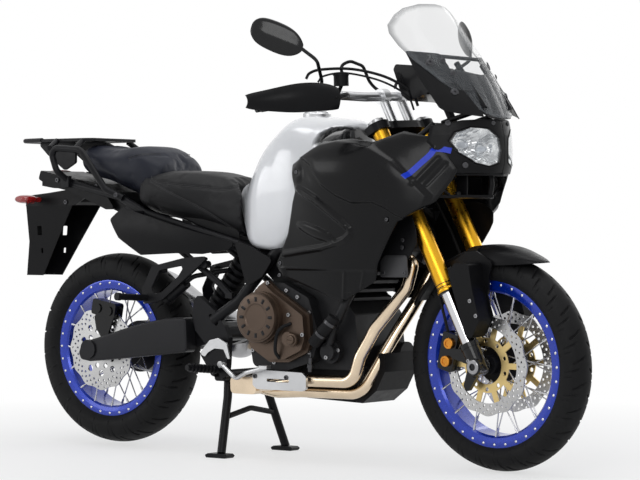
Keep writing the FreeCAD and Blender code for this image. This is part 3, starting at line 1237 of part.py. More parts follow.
skid_bottom = side_plate([(120, 204), (122, 200), (340, 192), (392, 232), (424, 292), (428, 350),
                          (423, 350), (419, 294), (388, 236), (338, 196)], -84, 84)
skid_sides = [side_plate([(120, 200), (340, 192), (392, 232), (424, 292), (428, 350), (404, 350),
                          (380, 300), (330, 250), (300, 214), (120, 210)], s * 80, s * 84, 4)
              for s in (-1, 1)]
skid_tabs = [cyl(V(200, s * 40, 199), V(200, s * 40, 215.7), 8) for s in (-1, 1)]
skid_plate = join([skid_bottom] + skid_sides + skid_tabs)
skid_plate = skid_plate.cut([exhaust_pipes, engine])
skid_plate = max(skid_plate.Solids, key=lambda q: q.Volume)

beak_shelf = flat_plate([(600, -168), (690, -150), (770, -104), (824, -50), (838, 0),
                         (824, 50), (770, 104), (690, 150), (600, 168), (600, 150), (660, 130),
                         (740, 60), (752, 0), (740, -60), (660, -130), (600, -150)], 898, 904.7, 4)
beak_strut = side_plate([(838, 904), (758, 702), (738, 690), (742, 712), (812, 890), (800, 904)],
                        -7, 7, 3)
beak_fin = flat_plate([(640, -158), (700, -128), (806, -6), (806, 6), (700, 128), (640, 158),
                       (640, 140), (690, 116), (778, 0), (690, -116), (640, -140)], 832, 836, 3)
beak_webs = [side_plate([(700, 834), (734, 834), (734, 900), (700, 900)], s * 66, s * 72)
             for s in (-1, 1)]
beak_arms = [tube([(744, 0, 704), (700, s * 40, 740), (690, s * 108, 834)], 7, 40)
             for s in (-1, 1)]
beak = join([beak_shelf, beak_strut, beak_fin] + beak_webs + beak_arms)

parts["skid_plate"] = skid_plate
parts["beak"] = beak
parts["frame"] = frame
parts["subframe"] = subframe
parts["engine"] = engine
parts["engine_covers"] = engine_covers
parts["exhaust_pipes"] = exhaust_pipes
parts["exhaust_guard"] = exhaust_guard
parts["muffler"] = muffler
parts["radiator"] = radiator
parts["swingarm"] = swingarm
parts["shaft_drive"] = shaft_drive
parts["rear_brake_caliper"] = rear_brake_caliper
parts["rear_shock"] = rear_shock
parts["fuel_tank"] = fuel_tank
parts["rider_seat"] = rider_seat
parts["passenger_seat"] = passenger_seat
parts["side_covers"] = side_covers
parts["fairing_right"] = fairing_right
parts["fairing_left"] = fairing_left
parts["nose_cowl"] = nose_cowl
parts["headlights"] = headlights
parts["lamp_bowls"] = lamp_bowls
parts["windscreen"] = windscreen
parts["screen_mount"] = screen_mount
parts["instrument"] = instrument
parts["nose_stay"] = stay
parts["rack"] = rack
parts["tail_unit"] = tail_unit
parts["tail_lamps"] = tail_lamps
parts["rider_footrests"] = rider_footrests
parts["heel_guards"] = heel_guards
parts["passenger_footrests"] = passenger_footrests
parts["pedals"] = pedals
parts["centre_stand"] = centre_stand
parts["side_stand"] = side_stand
parts["rear_tyre"] = rear_tyre
parts["rear_rim"] = rear_rim
parts["rear_hub"] = rear_hub
parts["rear_disc"] = rear_disc
steering = {"fork_outers": fork_outers, "fork_inners": fork_inners, "fork_caps": fork_caps,
            "fork_bottoms": fork_bottoms,
            "yokes": yokes, "handlebar": handlebar, "grips_controls": grips_controls,
            "reservoir": reservoir, "handguards": handguards, "mirrors": mirrors,
            "front_fender": front_fender, "front_calipers": front_calipers, "hoses": hoses,
            "front_tyre": front_tyre, "front_rim": front_rim, "front_hub": front_hub,
            "front_discs": front_discs, "front_carriers": front_carriers}
for name, shape in steering.items():
    parts[name] = turned(shape)

for name, shape in parts.items():
    shape.exportStep(os.path.join("parts", name + ".step"))
    box_ = shape.BoundBox
    print("%-20s solids %2d valid %s  x %.0f..%.0f y %.0f..%.0f z %.0f..%.0f" % (
        name, len(shape.Solids), shape.isValid(), box_.XMin, box_.XMax, box_.YMin, box_.YMax,
        box_.ZMin, box_.ZMax))
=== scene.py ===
"""Looks of the adventure motorcycle: finishes for the packed pieces, surfaces over them.

Shapes are worked out in millimetres in the frame of the part and written to the meshes in metres.
"""
import json
import math
from functools import cache

import bmesh
import bpy
import numpy as np
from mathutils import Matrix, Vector
from mathutils.bvhtree import BVHTree


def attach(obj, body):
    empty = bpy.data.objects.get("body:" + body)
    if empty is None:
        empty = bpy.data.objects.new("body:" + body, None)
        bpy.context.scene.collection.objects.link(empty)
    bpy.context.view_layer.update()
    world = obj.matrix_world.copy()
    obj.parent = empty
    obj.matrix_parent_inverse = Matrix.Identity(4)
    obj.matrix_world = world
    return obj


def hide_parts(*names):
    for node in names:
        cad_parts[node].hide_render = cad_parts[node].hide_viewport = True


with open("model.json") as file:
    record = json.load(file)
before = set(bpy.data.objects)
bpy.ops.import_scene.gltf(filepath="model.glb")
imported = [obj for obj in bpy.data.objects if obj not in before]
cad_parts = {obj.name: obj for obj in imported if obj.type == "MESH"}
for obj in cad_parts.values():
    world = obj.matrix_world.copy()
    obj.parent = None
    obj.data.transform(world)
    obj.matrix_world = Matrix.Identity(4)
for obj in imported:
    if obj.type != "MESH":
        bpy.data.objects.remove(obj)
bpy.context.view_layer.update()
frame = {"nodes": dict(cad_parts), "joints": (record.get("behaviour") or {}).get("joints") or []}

bl_info = {
    "name": "Adventure motorcycle looks",
    "version": (1, 0, 0),
    "blender": (4, 5, 0),
    "location": "3D View > Sidebar > Motorcycle",
    "description": "Finishes and detailed surfaces for the adventure motorcycle",
    "category": "Object",
}

MM = 0.001
TURN = 2 * np.pi
POLE = 0.01
SAME_POINT = 3e-5
SIDES = (("right", -1), ("left", 1))

# Places taken from the packed joints

JOINTS = {j["name"]: j for j in frame["joints"]}


def joint_place(name):
    """Pivot in millimetres and unit axis of a packed joint."""
    j = JOINTS[name]
    axis = np.array(j["axis"], float)
    return np.array(j["pos_m"], float) / MM, axis / np.linalg.norm(axis)


FRONT_AXLE, FRONT_SPIN = joint_place("front_wheel_spin")
REAR_AXLE, REAR_SPIN = joint_place("rear_wheel_spin")
STEER_BASE, STEER_AXIS = joint_place("steering")
STEER_AT_REST = math.radians(-6.0)
WHEELS = (("front", FRONT_AXLE, FRONT_SPIN), ("rear", REAR_AXLE, REAR_SPIN))


def turned(points, angle=STEER_AT_REST):
    """Points drawn straight ahead, turned about the steering axis, by default to the rest pose.

    Rotation of v by angle t about unit axis k: v cos t + (k x v) sin t + k (k.v)(1 - cos t).
    """
    v, k = np.asarray(points, float) - STEER_BASE, STEER_AXIS
    out = v * math.cos(angle) + np.cross(k, v) * math.sin(angle)
    return STEER_BASE + out + k * (v @ k)[..., None] * (1 - math.cos(angle))


# Surfaces on grids: each function gives (points, quads) in millimetres


def grid(points, wrap_u=False, wrap_v=False):
    """Quads between the neighbours of an (n, m, 3) array, joined round where a direction wraps."""
    n, m = points.shape[:2]
    i = np.arange(n if wrap_u else n - 1)[:, None]
    j = np.arange(m if wrap_v else m - 1)[None, :]
    i1, j1 = (i + 1) % n, (j + 1) % m
    quads = np.stack([i * m + j, i1 * m + j, i1 * m + j1, i * m + j1], -1).reshape(-1, 4)
    return points.reshape(-1, 3), quads


def flipped(part):
    """The part with its faces turned to the other side."""
    return part[0], part[1][:, ::-1]


def frame_of(axis):
    """The unit axis and two unit vectors square to it, the first as upright as it can be."""
    axis = np.asarray(axis, float) / np.linalg.norm(axis)
    near = np.array([1.0, 0, 0] if abs(axis[2]) > 0.98 else [0, 0, 1.0])
    a = near - axis * (near @ axis)
    a /= np.linalg.norm(a)
    return axis, a, np.cross(axis, a)


def circle_about(axis, steps):
    """The unit axis, and unit vectors square to it in even steps round it."""
    axis, a, b = frame_of(axis)
    t = TURN * np.arange(steps) / steps
    return axis, np.cos(t)[:, None] * a + np.sin(t)[:, None] * b


def revolve(profile, centre, axis, steps=64):
    """A profile of (radius, height along the axis) pairs carried round the axis.

    Point = centre + axis h + r (a cos t + b sin t), with t in even steps over a turn.
    """
    profile = np.asarray(profile, float)
    axis, ring = circle_about(axis, steps)
    pts = ring[:, None, :] * profile[None, :, :1] + profile[None, :, 1:] * axis
    return grid(pts + np.asarray(centre, float), wrap_u=True)


def path_frames(path):
    """Two unit vectors square to a path at each point, level with the axis it runs along least."""
    t = np.gradient(path, axis=0)
    t /= np.linalg.norm(t, axis=1)[:, None]
    near = np.eye(3)[np.argmin(np.abs(t).max(0))]
    a = near - t * (t @ near)[:, None]
    a /= np.maximum(np.linalg.norm(a, axis=1)[:, None], 1e-9)
    return a, np.cross(t, a)


def sweep(path, radii, sides=16):
    """A round section carried along a path, closed at its ends: p + r (a cos t + b sin t)."""
    path = np.asarray(path, float)
    radii = np.concatenate([[POLE], np.broadcast_to(float(radii), (len(path),)), [POLE]])
    a, b = (np.concatenate([q[:1], q, q[-1:]]) for q in path_frames(path))
    path = np.concatenate([path[:1], path, path[-1:]])
    s = TURN * np.arange(sides) / sides
    ring = np.cos(s)[None, :, None] * a[:, None] + np.sin(s)[None, :, None] * b[:, None]
    return grid(path[:, None] + ring * radii[:, None, None], wrap_v=True)


def smooth_path(points, per_run=10):
    """A curve through the points: each run is the cubic whose end slopes join its neighbours."""
    p = np.asarray(points, float)
    p = np.concatenate([2 * p[:1] - p[1:2], p, 2 * p[-1:] - p[-2:-1]])
    t = (np.arange(per_run) / per_run)[None, :, None]
    a, b, c, d = (p[k:len(p) - 3 + k, None] for k in range(4))
    curve = 0.5 * (2 * b + (c - a) * t + (2 * a - 5 * b + 4 * c - d) * t ** 2
                   + (3 * b - a - 3 * c + d) * t ** 3)
    return np.concatenate([curve.reshape(-1, 3), p[-2:-1]])


STRAIGHT = math.pi / 2 - 0.01
RUN_SHARE = 0.46


def corner(before, at, after, radius):
    """Unit runs away from a corner, half the angle between them and what the arc takes of each."""
    a, b = before - at, after - at
    la, lb = np.linalg.norm(a), np.linalg.norm(b)
    a, b = a / la, b / lb
    half = math.acos(np.clip(a @ b, -1, 1)) / 2
    return a, b, half, min(radius / math.tan(half), RUN_SHARE * la, RUN_SHARE * lb)


def bent_path(points, radius, per_bend=8):
    """Straight runs joined by arcs that touch both runs, as a bent tube is made."""
    p = np.asarray(points, float)
    f = np.linspace(0, 1, per_bend + 1)[:, None]
    out = [p[:1]]
    for k in range(1, len(p) - 1):
        a, b, half, taken = corner(p[k - 1], p[k], p[k + 1], radius)
        if half > STRAIGHT:
            out.append(p[k:k + 1])
            continue
        mid = (a + b) / np.linalg.norm(a + b)
        centre = p[k] + mid * (taken * math.tan(half) / math.sin(half))
        first, last = p[k] + a * taken - centre, p[k] + b * taken - centre
        turn = math.pi - 2 * half
        arc = first * np.sin((1 - f) * turn) + last * np.sin(f * turn)
        out.append(centre + arc / math.sin(turn))
    out.append(p[-1:])
    return np.concatenate(out)


def rounded_outline(points, radius, per_corner=5):
    """A closed flat outline with every corner turned into an arc."""
    p = np.asarray(points, float)
    f = np.linspace(0, 1, per_corner + 1)[:, None]
    out = []
    for k in range(len(p)):
        a, b, half, taken = corner(p[k - 1], p[k], p[(k + 1) % len(p)], radius)
        if taken < 1e-6 or half > STRAIGHT:
            out.append(p[k:k + 1])
            continue
        start, end = p[k] + a * taken, p[k] + b * taken
        out.append((1 - f) ** 2 * start + 2 * f * (1 - f) * p[k] + f ** 2 * end)
    return np.concatenate(out)


BOLT_SIDES = 12


def bolt(place, direction, radius, height):
    """A round head with a six-sided socket: rings stepped up, over and down into the socket."""
    socket, floor = radius * 0.5, height * 0.35
    rings = [(0.0, POLE, 0), (0.0, radius, 0), (height * 0.75, radius, 0),
             (height, radius * 0.86, 0),
             (height, socket, 1), (floor, socket, 1), (floor, POLE, 0)]
    axis, ring = circle_about(direction, BOLT_SIDES)
    t = TURN * np.arange(BOLT_SIDES) / BOLT_SIDES
    hexagon = np.cos(math.pi / 6) / np.cos((t % (math.pi / 3)) - math.pi / 6)
    h, r, six = (np.array(v, float)[:, None] for v in zip(*rings))
    r = r * np.where(six > 0, hexagon[None, :], 1.0)
    pts = r[..., None] * ring[None] + h[..., None] * axis + np.asarray(place, float)
    return flipped(grid(pts, wrap_v=True))


def ease(x, low, high):
    """0 below low, 1 above high, with a smooth step between."""
    f = np.clip((x - low) / (high - low), 0, 1)
    return f * f * (3 - 2 * f)


def merged(parts):
    """All parts as one list of points and one of quads."""
    points, quads, start = [], [], 0
    for co, faces in parts:
        points.append(co)
        quads.append(faces + start)
        start += len(co)
    return np.concatenate(points), np.concatenate(quads)


def make_piece(name, parts, made_of, body, replaces=(), sharp=32.0, marks=None,
               keep_winding=False):
    """One mesh of the parts in metres, doubled points joined, smooth up to the sharp angle."""
    co, quads = merged(parts)
    mesh = bpy.data.meshes.new(name)
    mesh.vertices.add(len(co))
    mesh.vertices.foreach_set("co", (co * MM).astype(np.float32).ravel())
    mesh.loops.add(quads.size)
    mesh.loops.foreach_set("vertex_index", quads.astype(np.int32).ravel())
    mesh.polygons.add(len(quads))
    mesh.polygons.foreach_set("loop_start", np.arange(0, quads.size, 4, dtype=np.int32))
    mesh.update(calc_edges=True)
    mesh.validate()
    for key, values in (marks or {}).items():
        mark = mesh.attributes.new(key, "FLOAT", "POINT")
        mark.data.foreach_set("value", np.asarray(values, np.float32))
    build = bmesh.new()
    build.from_mesh(mesh)
    bmesh.ops.remove_doubles(build, verts=build.verts, dist=SAME_POINT)
    if not keep_winding:
        bmesh.ops.recalc_face_normals(build, faces=build.faces)
    build.to_mesh(mesh)
    build.free()
    mesh.polygons.foreach_set("use_smooth", np.ones(len(mesh.polygons), bool))
    mesh.set_sharp_from_angle(angle=math.radians(sharp))
    mesh.materials.append(finish(made_of))
    piece = bpy.data.objects.new(name, mesh)
    bpy.context.scene.collection.objects.link(piece)
    return carried(piece, body, replaces)


def carried(piece, body, replaces=()):
    """Puts the piece on its body and in its slot, in place of the nodes it replaces."""
    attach(piece, body)
    if replaces:
        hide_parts(*replaces)
    return piece


# Camera, and the skins of nodes and pieces, so that bolts and seams sit on them

CAMERA_AT = (4.9253, -6.3475, 0.7540)
CAMERA_FROM = np.array(CAMERA_AT) / MM
CAMERA_LOOK = (-0.60447, 0.79658, -0.0068)
CAMERA_LENS = 140.03
SENSOR = 36.0
VIEW_WIDE, VIEW_HIGH = 640, 480
SIDE_START = 700.0
SUNK = 0.8


@cache
def skin_tree(name):
    """Search tree over the triangles of a packed node, or of a piece made before."""
    owner = frame["nodes"][name] if name in frame["nodes"] else bpy.data.objects[name]
    mesh = owner.data
    mesh.calc_loop_triangles()
    tri = np.empty(len(mesh.loop_triangles) * 3, np.int32)
    mesh.loop_triangles.foreach_get("vertices", tri)
    return BVHTree.FromPolygons(read_points(mesh).tolist(), tri.reshape(-1, 3).tolist())


def read_points(mesh):
    """The points of a mesh in metres."""
    co = np.empty(len(mesh.vertices) * 3, np.float32)
    mesh.vertices.foreach_get("co", co)
    return co.reshape(-1, 3)


def meet(names, start, along):
    """Where a line first meets the named skins: place in millimetres and the skin's facing."""
    best = None
    start = Vector(tuple(float(v) * MM for v in start))
    along = Vector(tuple(float(v) for v in along)).normalized()
    for name in names:
        place, facing, _, far = skin_tree(name).ray_cast(start, along)
        if place is not None and (best is None or far < best[0]):
            best = far, place, facing if facing.dot(along) < 0 else -facing
    return None if best is None else (np.array(best[1]) / MM, np.array(best[2]))


def from_side(names, side, points):
    """Places on the skins straight in from one side at each (x, z)."""
    found = [meet(names, (x, side * SIDE_START, z), (0, -side, 0)) for x, z in points]
    return [f for f in found if f is not None]


def view_lines(u, v):
    """The camera's lines through points (u, v) of its view."""
    look = np.array(CAMERA_LOOK) / np.linalg.norm(CAMERA_LOOK)
    right = np.cross(look, (0, 0, 1))
    right /= np.linalg.norm(right)
    up = np.cross(right, look)
    return (look * (CAMERA_LENS / SENSOR * VIEW_WIDE) + right * (u - VIEW_WIDE / 2)[:, None]
            + up * (VIEW_HIGH / 2 - v)[:, None])


def from_view(names, points):
    """Places on the skins along the camera's lines through points of its view."""
    found = [meet(names, CAMERA_FROM, line) for line in view_lines(*np.array(points, float).T)]
    return [f for f in found if f is not None]


def view_points(points):
    """Points on the camera's lines through (u, v) of its view, each where the line has its y."""
    u, v, y = np.array(points, float).T
    line = view_lines(u, v)
    return CAMERA_FROM + line * ((y - CAMERA_FROM[1]) / line[:, 1])[:, None]


def bolts_at(found, radius, height, facing=None):
    """A bolt at each place found, square to the skin unless told which way to face."""
    ways = [np.array(way if facing is None else facing) for _, way in found]
    return [bolt(place - way * SUNK, way, radius, height + SUNK)
            for (place, _), way in zip(found, ways)]


def spline_weights(knots, x):
    """Weights of the natural cubic spline: value at x = weights times the values at the knots."""
    k = np.asarray(knots, float)
    n = len(k)
    h = np.diff(k)
    left = np.eye(n)
    right = np.zeros((n, n))
    for i in range(1, n - 1):
        left[i, i - 1:i + 2] = h[i - 1] / 6, (h[i - 1] + h[i]) / 3, h[i] / 6
        right[i, i - 1:i + 2] = 1 / h[i - 1], -1 / h[i - 1] - 1 / h[i], 1 / h[i]
    bend = np.linalg.solve(left, right)
    x = np.clip(np.asarray(x, float), k[0], k[-1])
    i = np.clip(np.searchsorted(k, x) - 1, 0, n - 2)
    b = (x - k[i]) / h[i]
    a = 1 - b
    eye = np.eye(n)
    return (a[:, None] * eye[i] + b[:, None] * eye[i + 1]
            + ((a ** 3 - a) * h[i] ** 2 / 6)[:, None] * bend[i]
            + ((b ** 3 - b) * h[i] ** 2 / 6)[:, None] * bend[i + 1])


def along_line(p, line, closed=False):
    """Distance from flat points to a line of straight runs."""
    line = np.asarray(line, float)
    if closed:
        line = np.concatenate([line, line[:1]])
    a, b = line[:-1], line[1:]
    run = b - a
    t = np.einsum("psk,sk->ps", p[:, None] - a[None], run) / (run ** 2).sum(1)
    foot = a + np.clip(t, 0, 1)[..., None] * run
    return np.sqrt(((p[:, None] - foot) ** 2).sum(-1)).min(1)


def inside(p, outline):
    """True where a flat point lies inside the outline, by the crossings of a level ray."""
    q = np.asarray(outline, float)
    r = np.roll(q, -1, axis=0)
    x, z = p[:, 0:1], p[:, 1:2]
    over = (q[:, 1] > z) != (r[:, 1] > z)
    rise = np.where(r[:, 1] == q[:, 1], 1e-9, r[:, 1] - q[:, 1])
    return (over & (x < (r[:, 0] - q[:, 0]) * (z - q[:, 1]) / rise + q[:, 0])).sum(1) % 2 == 1


def pad(p, outline, rise, edge):
    """A raised field: 0 outside the outline, rise inside, with a smooth step edge wide."""
    d = along_line(p, outline, True) * np.where(inside(p, outline), 1, -1)
    return rise * ease(d, -edge / 2, edge / 2)


def ridge(p, line, rise, half, closed=False):
    """A rounded ridge along a line: rise times 1 - smooth step of the distance to half."""
    return rise * (1 - ease(along_line(p, line, closed), 0, half))


def ring_of(outline, count, radius=0.0):
    """The outline with rounded corners, cut into count steps of equal length."""
    p = rounded_outline(outline, radius) if np.any(radius) else np.asarray(outline, float)
    p = np.concatenate([p, p[:1]])
    s = np.concatenate([[0], np.cumsum(np.linalg.norm(np.diff(p, axis=0), axis=1))])
    t = s[-1] * np.arange(count) / count
    return np.stack([np.interp(t, s, p[:, k]) for k in (0, 1)], 1)


def reach(outline, centre, angles):
    """How far a ray from the centre runs at each angle before it meets the outline."""
    q = np.asarray(outline, float) - centre
    r = np.roll(q, -1, axis=0)
    d = np.stack([np.cos(angles), np.sin(angles)], 1)
    run = r - q
    cross = d[:, None, 0] * run[None, :, 1] - d[:, None, 1] * run[None, :, 0]
    cross = np.where(np.abs(cross) < 1e-9, 1e-9, cross)
    t = (q[None, :, 0] * run[None, :, 1] - q[None, :, 1] * run[None, :, 0]) / cross
    u = (q[None, :, 0] * d[:, None, 1] - q[None, :, 1] * d[:, None, 0]) / cross
    t = np.where((t > 0) & (u > -1e-6) & (u < 1 + 1e-6), t, 1e9)
    return t.min(1)


def shell(outline, centre, place, thick, rings=40, count=200, radius=8.0, roll=2.0,
          roll_share=0.05):
    """A thin curved panel that fills an outline.

    Flat point = centre + r (edge - centre), r from 0 to 1 and edge round the outline. place turns
    the flat points and a depth behind the face into points; the face rolls back by roll towards
    its edge, and the back wall lies thick behind it.
    """
    edge = ring_of(outline, count, radius)
    r = np.linspace(0, 1, rings)
    r_back = np.linspace(1, 0, max(4, rings // 4))
    flat = [centre + s[:, None, None] * (edge - centre)[None] for s in (r, r_back)]
    fall = roll * ease(r, 1 - roll_share, 1) ** 2
    face = place(flat[0].reshape(-1, 2), np.repeat(fall, count)).reshape(rings, count, 3)
    back = place(flat[1].reshape(-1, 2), np.full(flat[1].shape[0] * count, thick + roll))
    return grid(np.concatenate([face, back.reshape(-1, count, 3)]), wrap_v=True)


def annulus(outer, inner, centre, place, thick, rings=24, count=160, lip=2.0):
    """A thin panel between an inner and an outer outline, both met by rays from the centre."""
    t = TURN * np.arange(count) / count
    far, near = reach(outer, centre, t), reach(inner, centre, t)
    s = np.concatenate([np.linspace(0, 1, rings), np.linspace(1, 0, 6)])
    depth = np.concatenate([lip * (1 - ease(s[:rings], 0,
                                            0.12)) ** 2 + lip * ease(s[:rings], 0.94, 1) ** 2,
                            np.full(6, thick + lip)])
    radius = near[None] + (far - near)[None] * s[:, None]
    ray = np.stack([np.cos(t), np.sin(t)], 1)
    flat = centre + radius[..., None] * ray[None]
    pts = place(flat.reshape(-1, 2), np.repeat(depth, count)).reshape(len(s), count, 3)
    return grid(np.concatenate([pts, pts[:1]]), wrap_v=True)


def mirrored(part):
    """The part on the other side of the machine, with its faces turned to point outwards."""
    return part[0] * np.array([1, -1, 1]), part[1][:, ::-1]


def rounded_box(low, high, r=2.0):
    """A block with cut edges: each ring of its section shrinks by r towards both ends."""
    low, high = np.asarray(low, float), np.asarray(high, float)
    c, h = (low + high) / 2, (high - low) / 2
    ring = np.array([(-1, -1), (1, -1), (1, 1), (-1, 1)], float)
    out = []
    for z, k in ((-1, 1), (-1, 0), (1, 0), (1, 1)):
        size = h[:2] - r * k
        corner = np.repeat(ring, 2, axis=0) * size
        cut = np.array([(0, 1), (1, 0), (-1, 0), (0, 1), (0, -1), (-1, 0), (1, 0), (0, -1)], float)
        xy = corner + cut * r
        height = z * (h[2] - (0 if k else r))
        out.append(np.column_stack([xy + c[:2], np.full(8, c[2] + height)]))
    out = [np.repeat(c[None, :] - [0, 0, h[2]], 8,
                     0)] + out + [np.repeat(c[None, :] + [0, 0, h[2]], 8, 0)]
    return grid(np.array(out), wrap_v=True)


# Finishes

NOISE_LOW, NOISE_HIGH = 0.3, 0.7
PLASTIC_IOR = 1.49


class Shade:
    """A new material with the node helpers that the finishes share."""

    def __init__(self, name):
        self.material = bpy.data.materials.new(name)
        self.material.use_nodes = True
        tree = self.material.node_tree
        self.nodes, self.links = tree.nodes, tree.links
        self.shader = self.nodes["Principled BSDF"]
        self.place = self.nodes.new("ShaderNodeTexCoord").outputs["Object"]

    def put(self, **values):
        """Constants, or what sockets give, on inputs of the shader, with _ for each space."""
        for key, value in values.items():
            self.set(self.shader.inputs[key.replace("_", " ")], value)

    def set(self, socket, value):
        if isinstance(value, bpy.types.NodeSocket):
            self.links.new(value, socket)
        else:
            socket.default_value = value

    def noise(self, scale):
        n = self.nodes.new("ShaderNodeTexNoise")
        for key, value in (("Scale", scale), ("Detail", 4.0), ("Roughness", 0.55)):
            n.inputs[key].default_value = value
        self.links.new(self.place, n.inputs["Vector"])
        return n.outputs["Fac"]

    def spread(self, value, low, high, out_low, out_high):
        """The value carried from one range to another."""
        m = self.nodes.new("ShaderNodeMapRange")
        for key, made in (("From Min", low), ("From Max", high), ("To Min", out_low),
                          ("To Max", out_high), ("Value", value)):
            self.set(m.inputs[key], made)
        return m.outputs["Result"]

    def wander(self, scale, low, high):
        """A value that wanders between low and high over the surface."""
        return self.spread(self.noise(scale), NOISE_LOW, NOISE_HIGH, low, high)

    def blend(self, value, first, second):
        """Two colours, or what two sockets give, mixed by a value from 0 to 1."""
        m = self.nodes.new("ShaderNodeMix")
        m.data_type = "RGBA"
        for key, made in (("A", first), ("B", second)):
            self.set(m.inputs[key], made if isinstance(made, bpy.types.NodeSocket) else (*made, 1))
        self.links.new(value, m.inputs["Factor"])
        return m.outputs["Result"]

    def attribute(self, name):
        n = self.nodes.new("ShaderNodeAttribute")
        n.attribute_name = name
        return n.outputs["Fac"]


def plain(name, colour, rough, metal=0.0, coat=0.0, grain=0.0, grain_size=900.0, tone=0.12,
          tone_size=6.0, rough_spread=0.06, specular=0.5):
    """A finish with a slow change of tone, uneven roughness and a fine grain in the surface."""
    shade = Shade(name)
    light = [min(1, c * (1 + tone)) for c in colour]
    dark = [c * (1 - tone) for c in colour]
    shade.put(Base_Color=shade.blend(shade.wander(tone_size, 0, 1), dark, light),
              Roughness=shade.wander(tone_size * 7, max(0.02, rough - rough_spread),
                                     min(1, rough + rough_spread)),
              Metallic=metal, Coat_Weight=coat, Coat_Roughness=0.04, Specular_IOR_Level=specular)
    if grain:
        bump = shade.nodes.new("ShaderNodeBump")
        bump.inputs["Strength"].default_value = grain
        bump.inputs["Distance"].default_value = 0.0004
        shade.links.new(shade.noise(grain_size), bump.inputs["Height"])
        shade.put(Normal=bump.outputs["Normal"])
    return shade.material


def pearl_white(name):
    """White paint with a faint mica shift under a clear coat, black in the room for the head."""
    shade = Shade(name)
    flakes = shade.nodes.new("ShaderNodeTexVoronoi")
    flakes.inputs["Scale"].default_value = 2600
    shade.links.new(shade.place, flakes.inputs["Vector"])
    white = np.array(colours().tank_white)
    shift = shade.spread(flakes.outputs["Distance"], 0.1, 0.6, 0, 1)
    paint = shade.blend(shift, white * (0.93, 0.94, 0.965), white)
    # The dark mark swaps the paint for near-black painted shade over the head room.
    shade.put(Base_Color=shade.blend(shade.attribute("dark"), paint, (0.009, 0.009, 0.01)),
              Roughness=shade.wander(30, 0.2, 0.27), Metallic=0.08, Coat_Weight=0.8,
              Coat_Roughness=0.03)
    return shade.material


def clear_glass(name, tint, alpha):
    """Thin clear plastic: mostly see-through, with a clear reflection at glancing angles."""
    shade = Shade(name)
    shade.put(Roughness=shade.wander(25, 0.02, 0.05), Base_Color=(*tint, 1), IOR=PLASTIC_IOR,
              Alpha=alpha)
    return shade.material


def screen_plastic(name):
    """Clear sheet whose ground edge scatters light and looks denser than its face."""
    shade = Shade(name)
    rim = shade.attribute("edge")
    shade.put(Roughness=shade.wander(20, 0.02, 0.05), Alpha=shade.spread(rim, 0, 1, 0.12, 0.45),
              Base_Color=shade.blend(rim, (0.26, 0.28, 0.30), (0.12, 0.13, 0.14)),
              IOR=PLASTIC_IOR)
    return shade.material


SPECIAL = {"pearl_white": pearl_white, "screen_plastic": screen_plastic}
GLASS = {"screen_glass": ((0.75, 0.78, 0.80), 0.16), "lamp_glass": ((0.9, 0.93, 0.96), 0.14)}

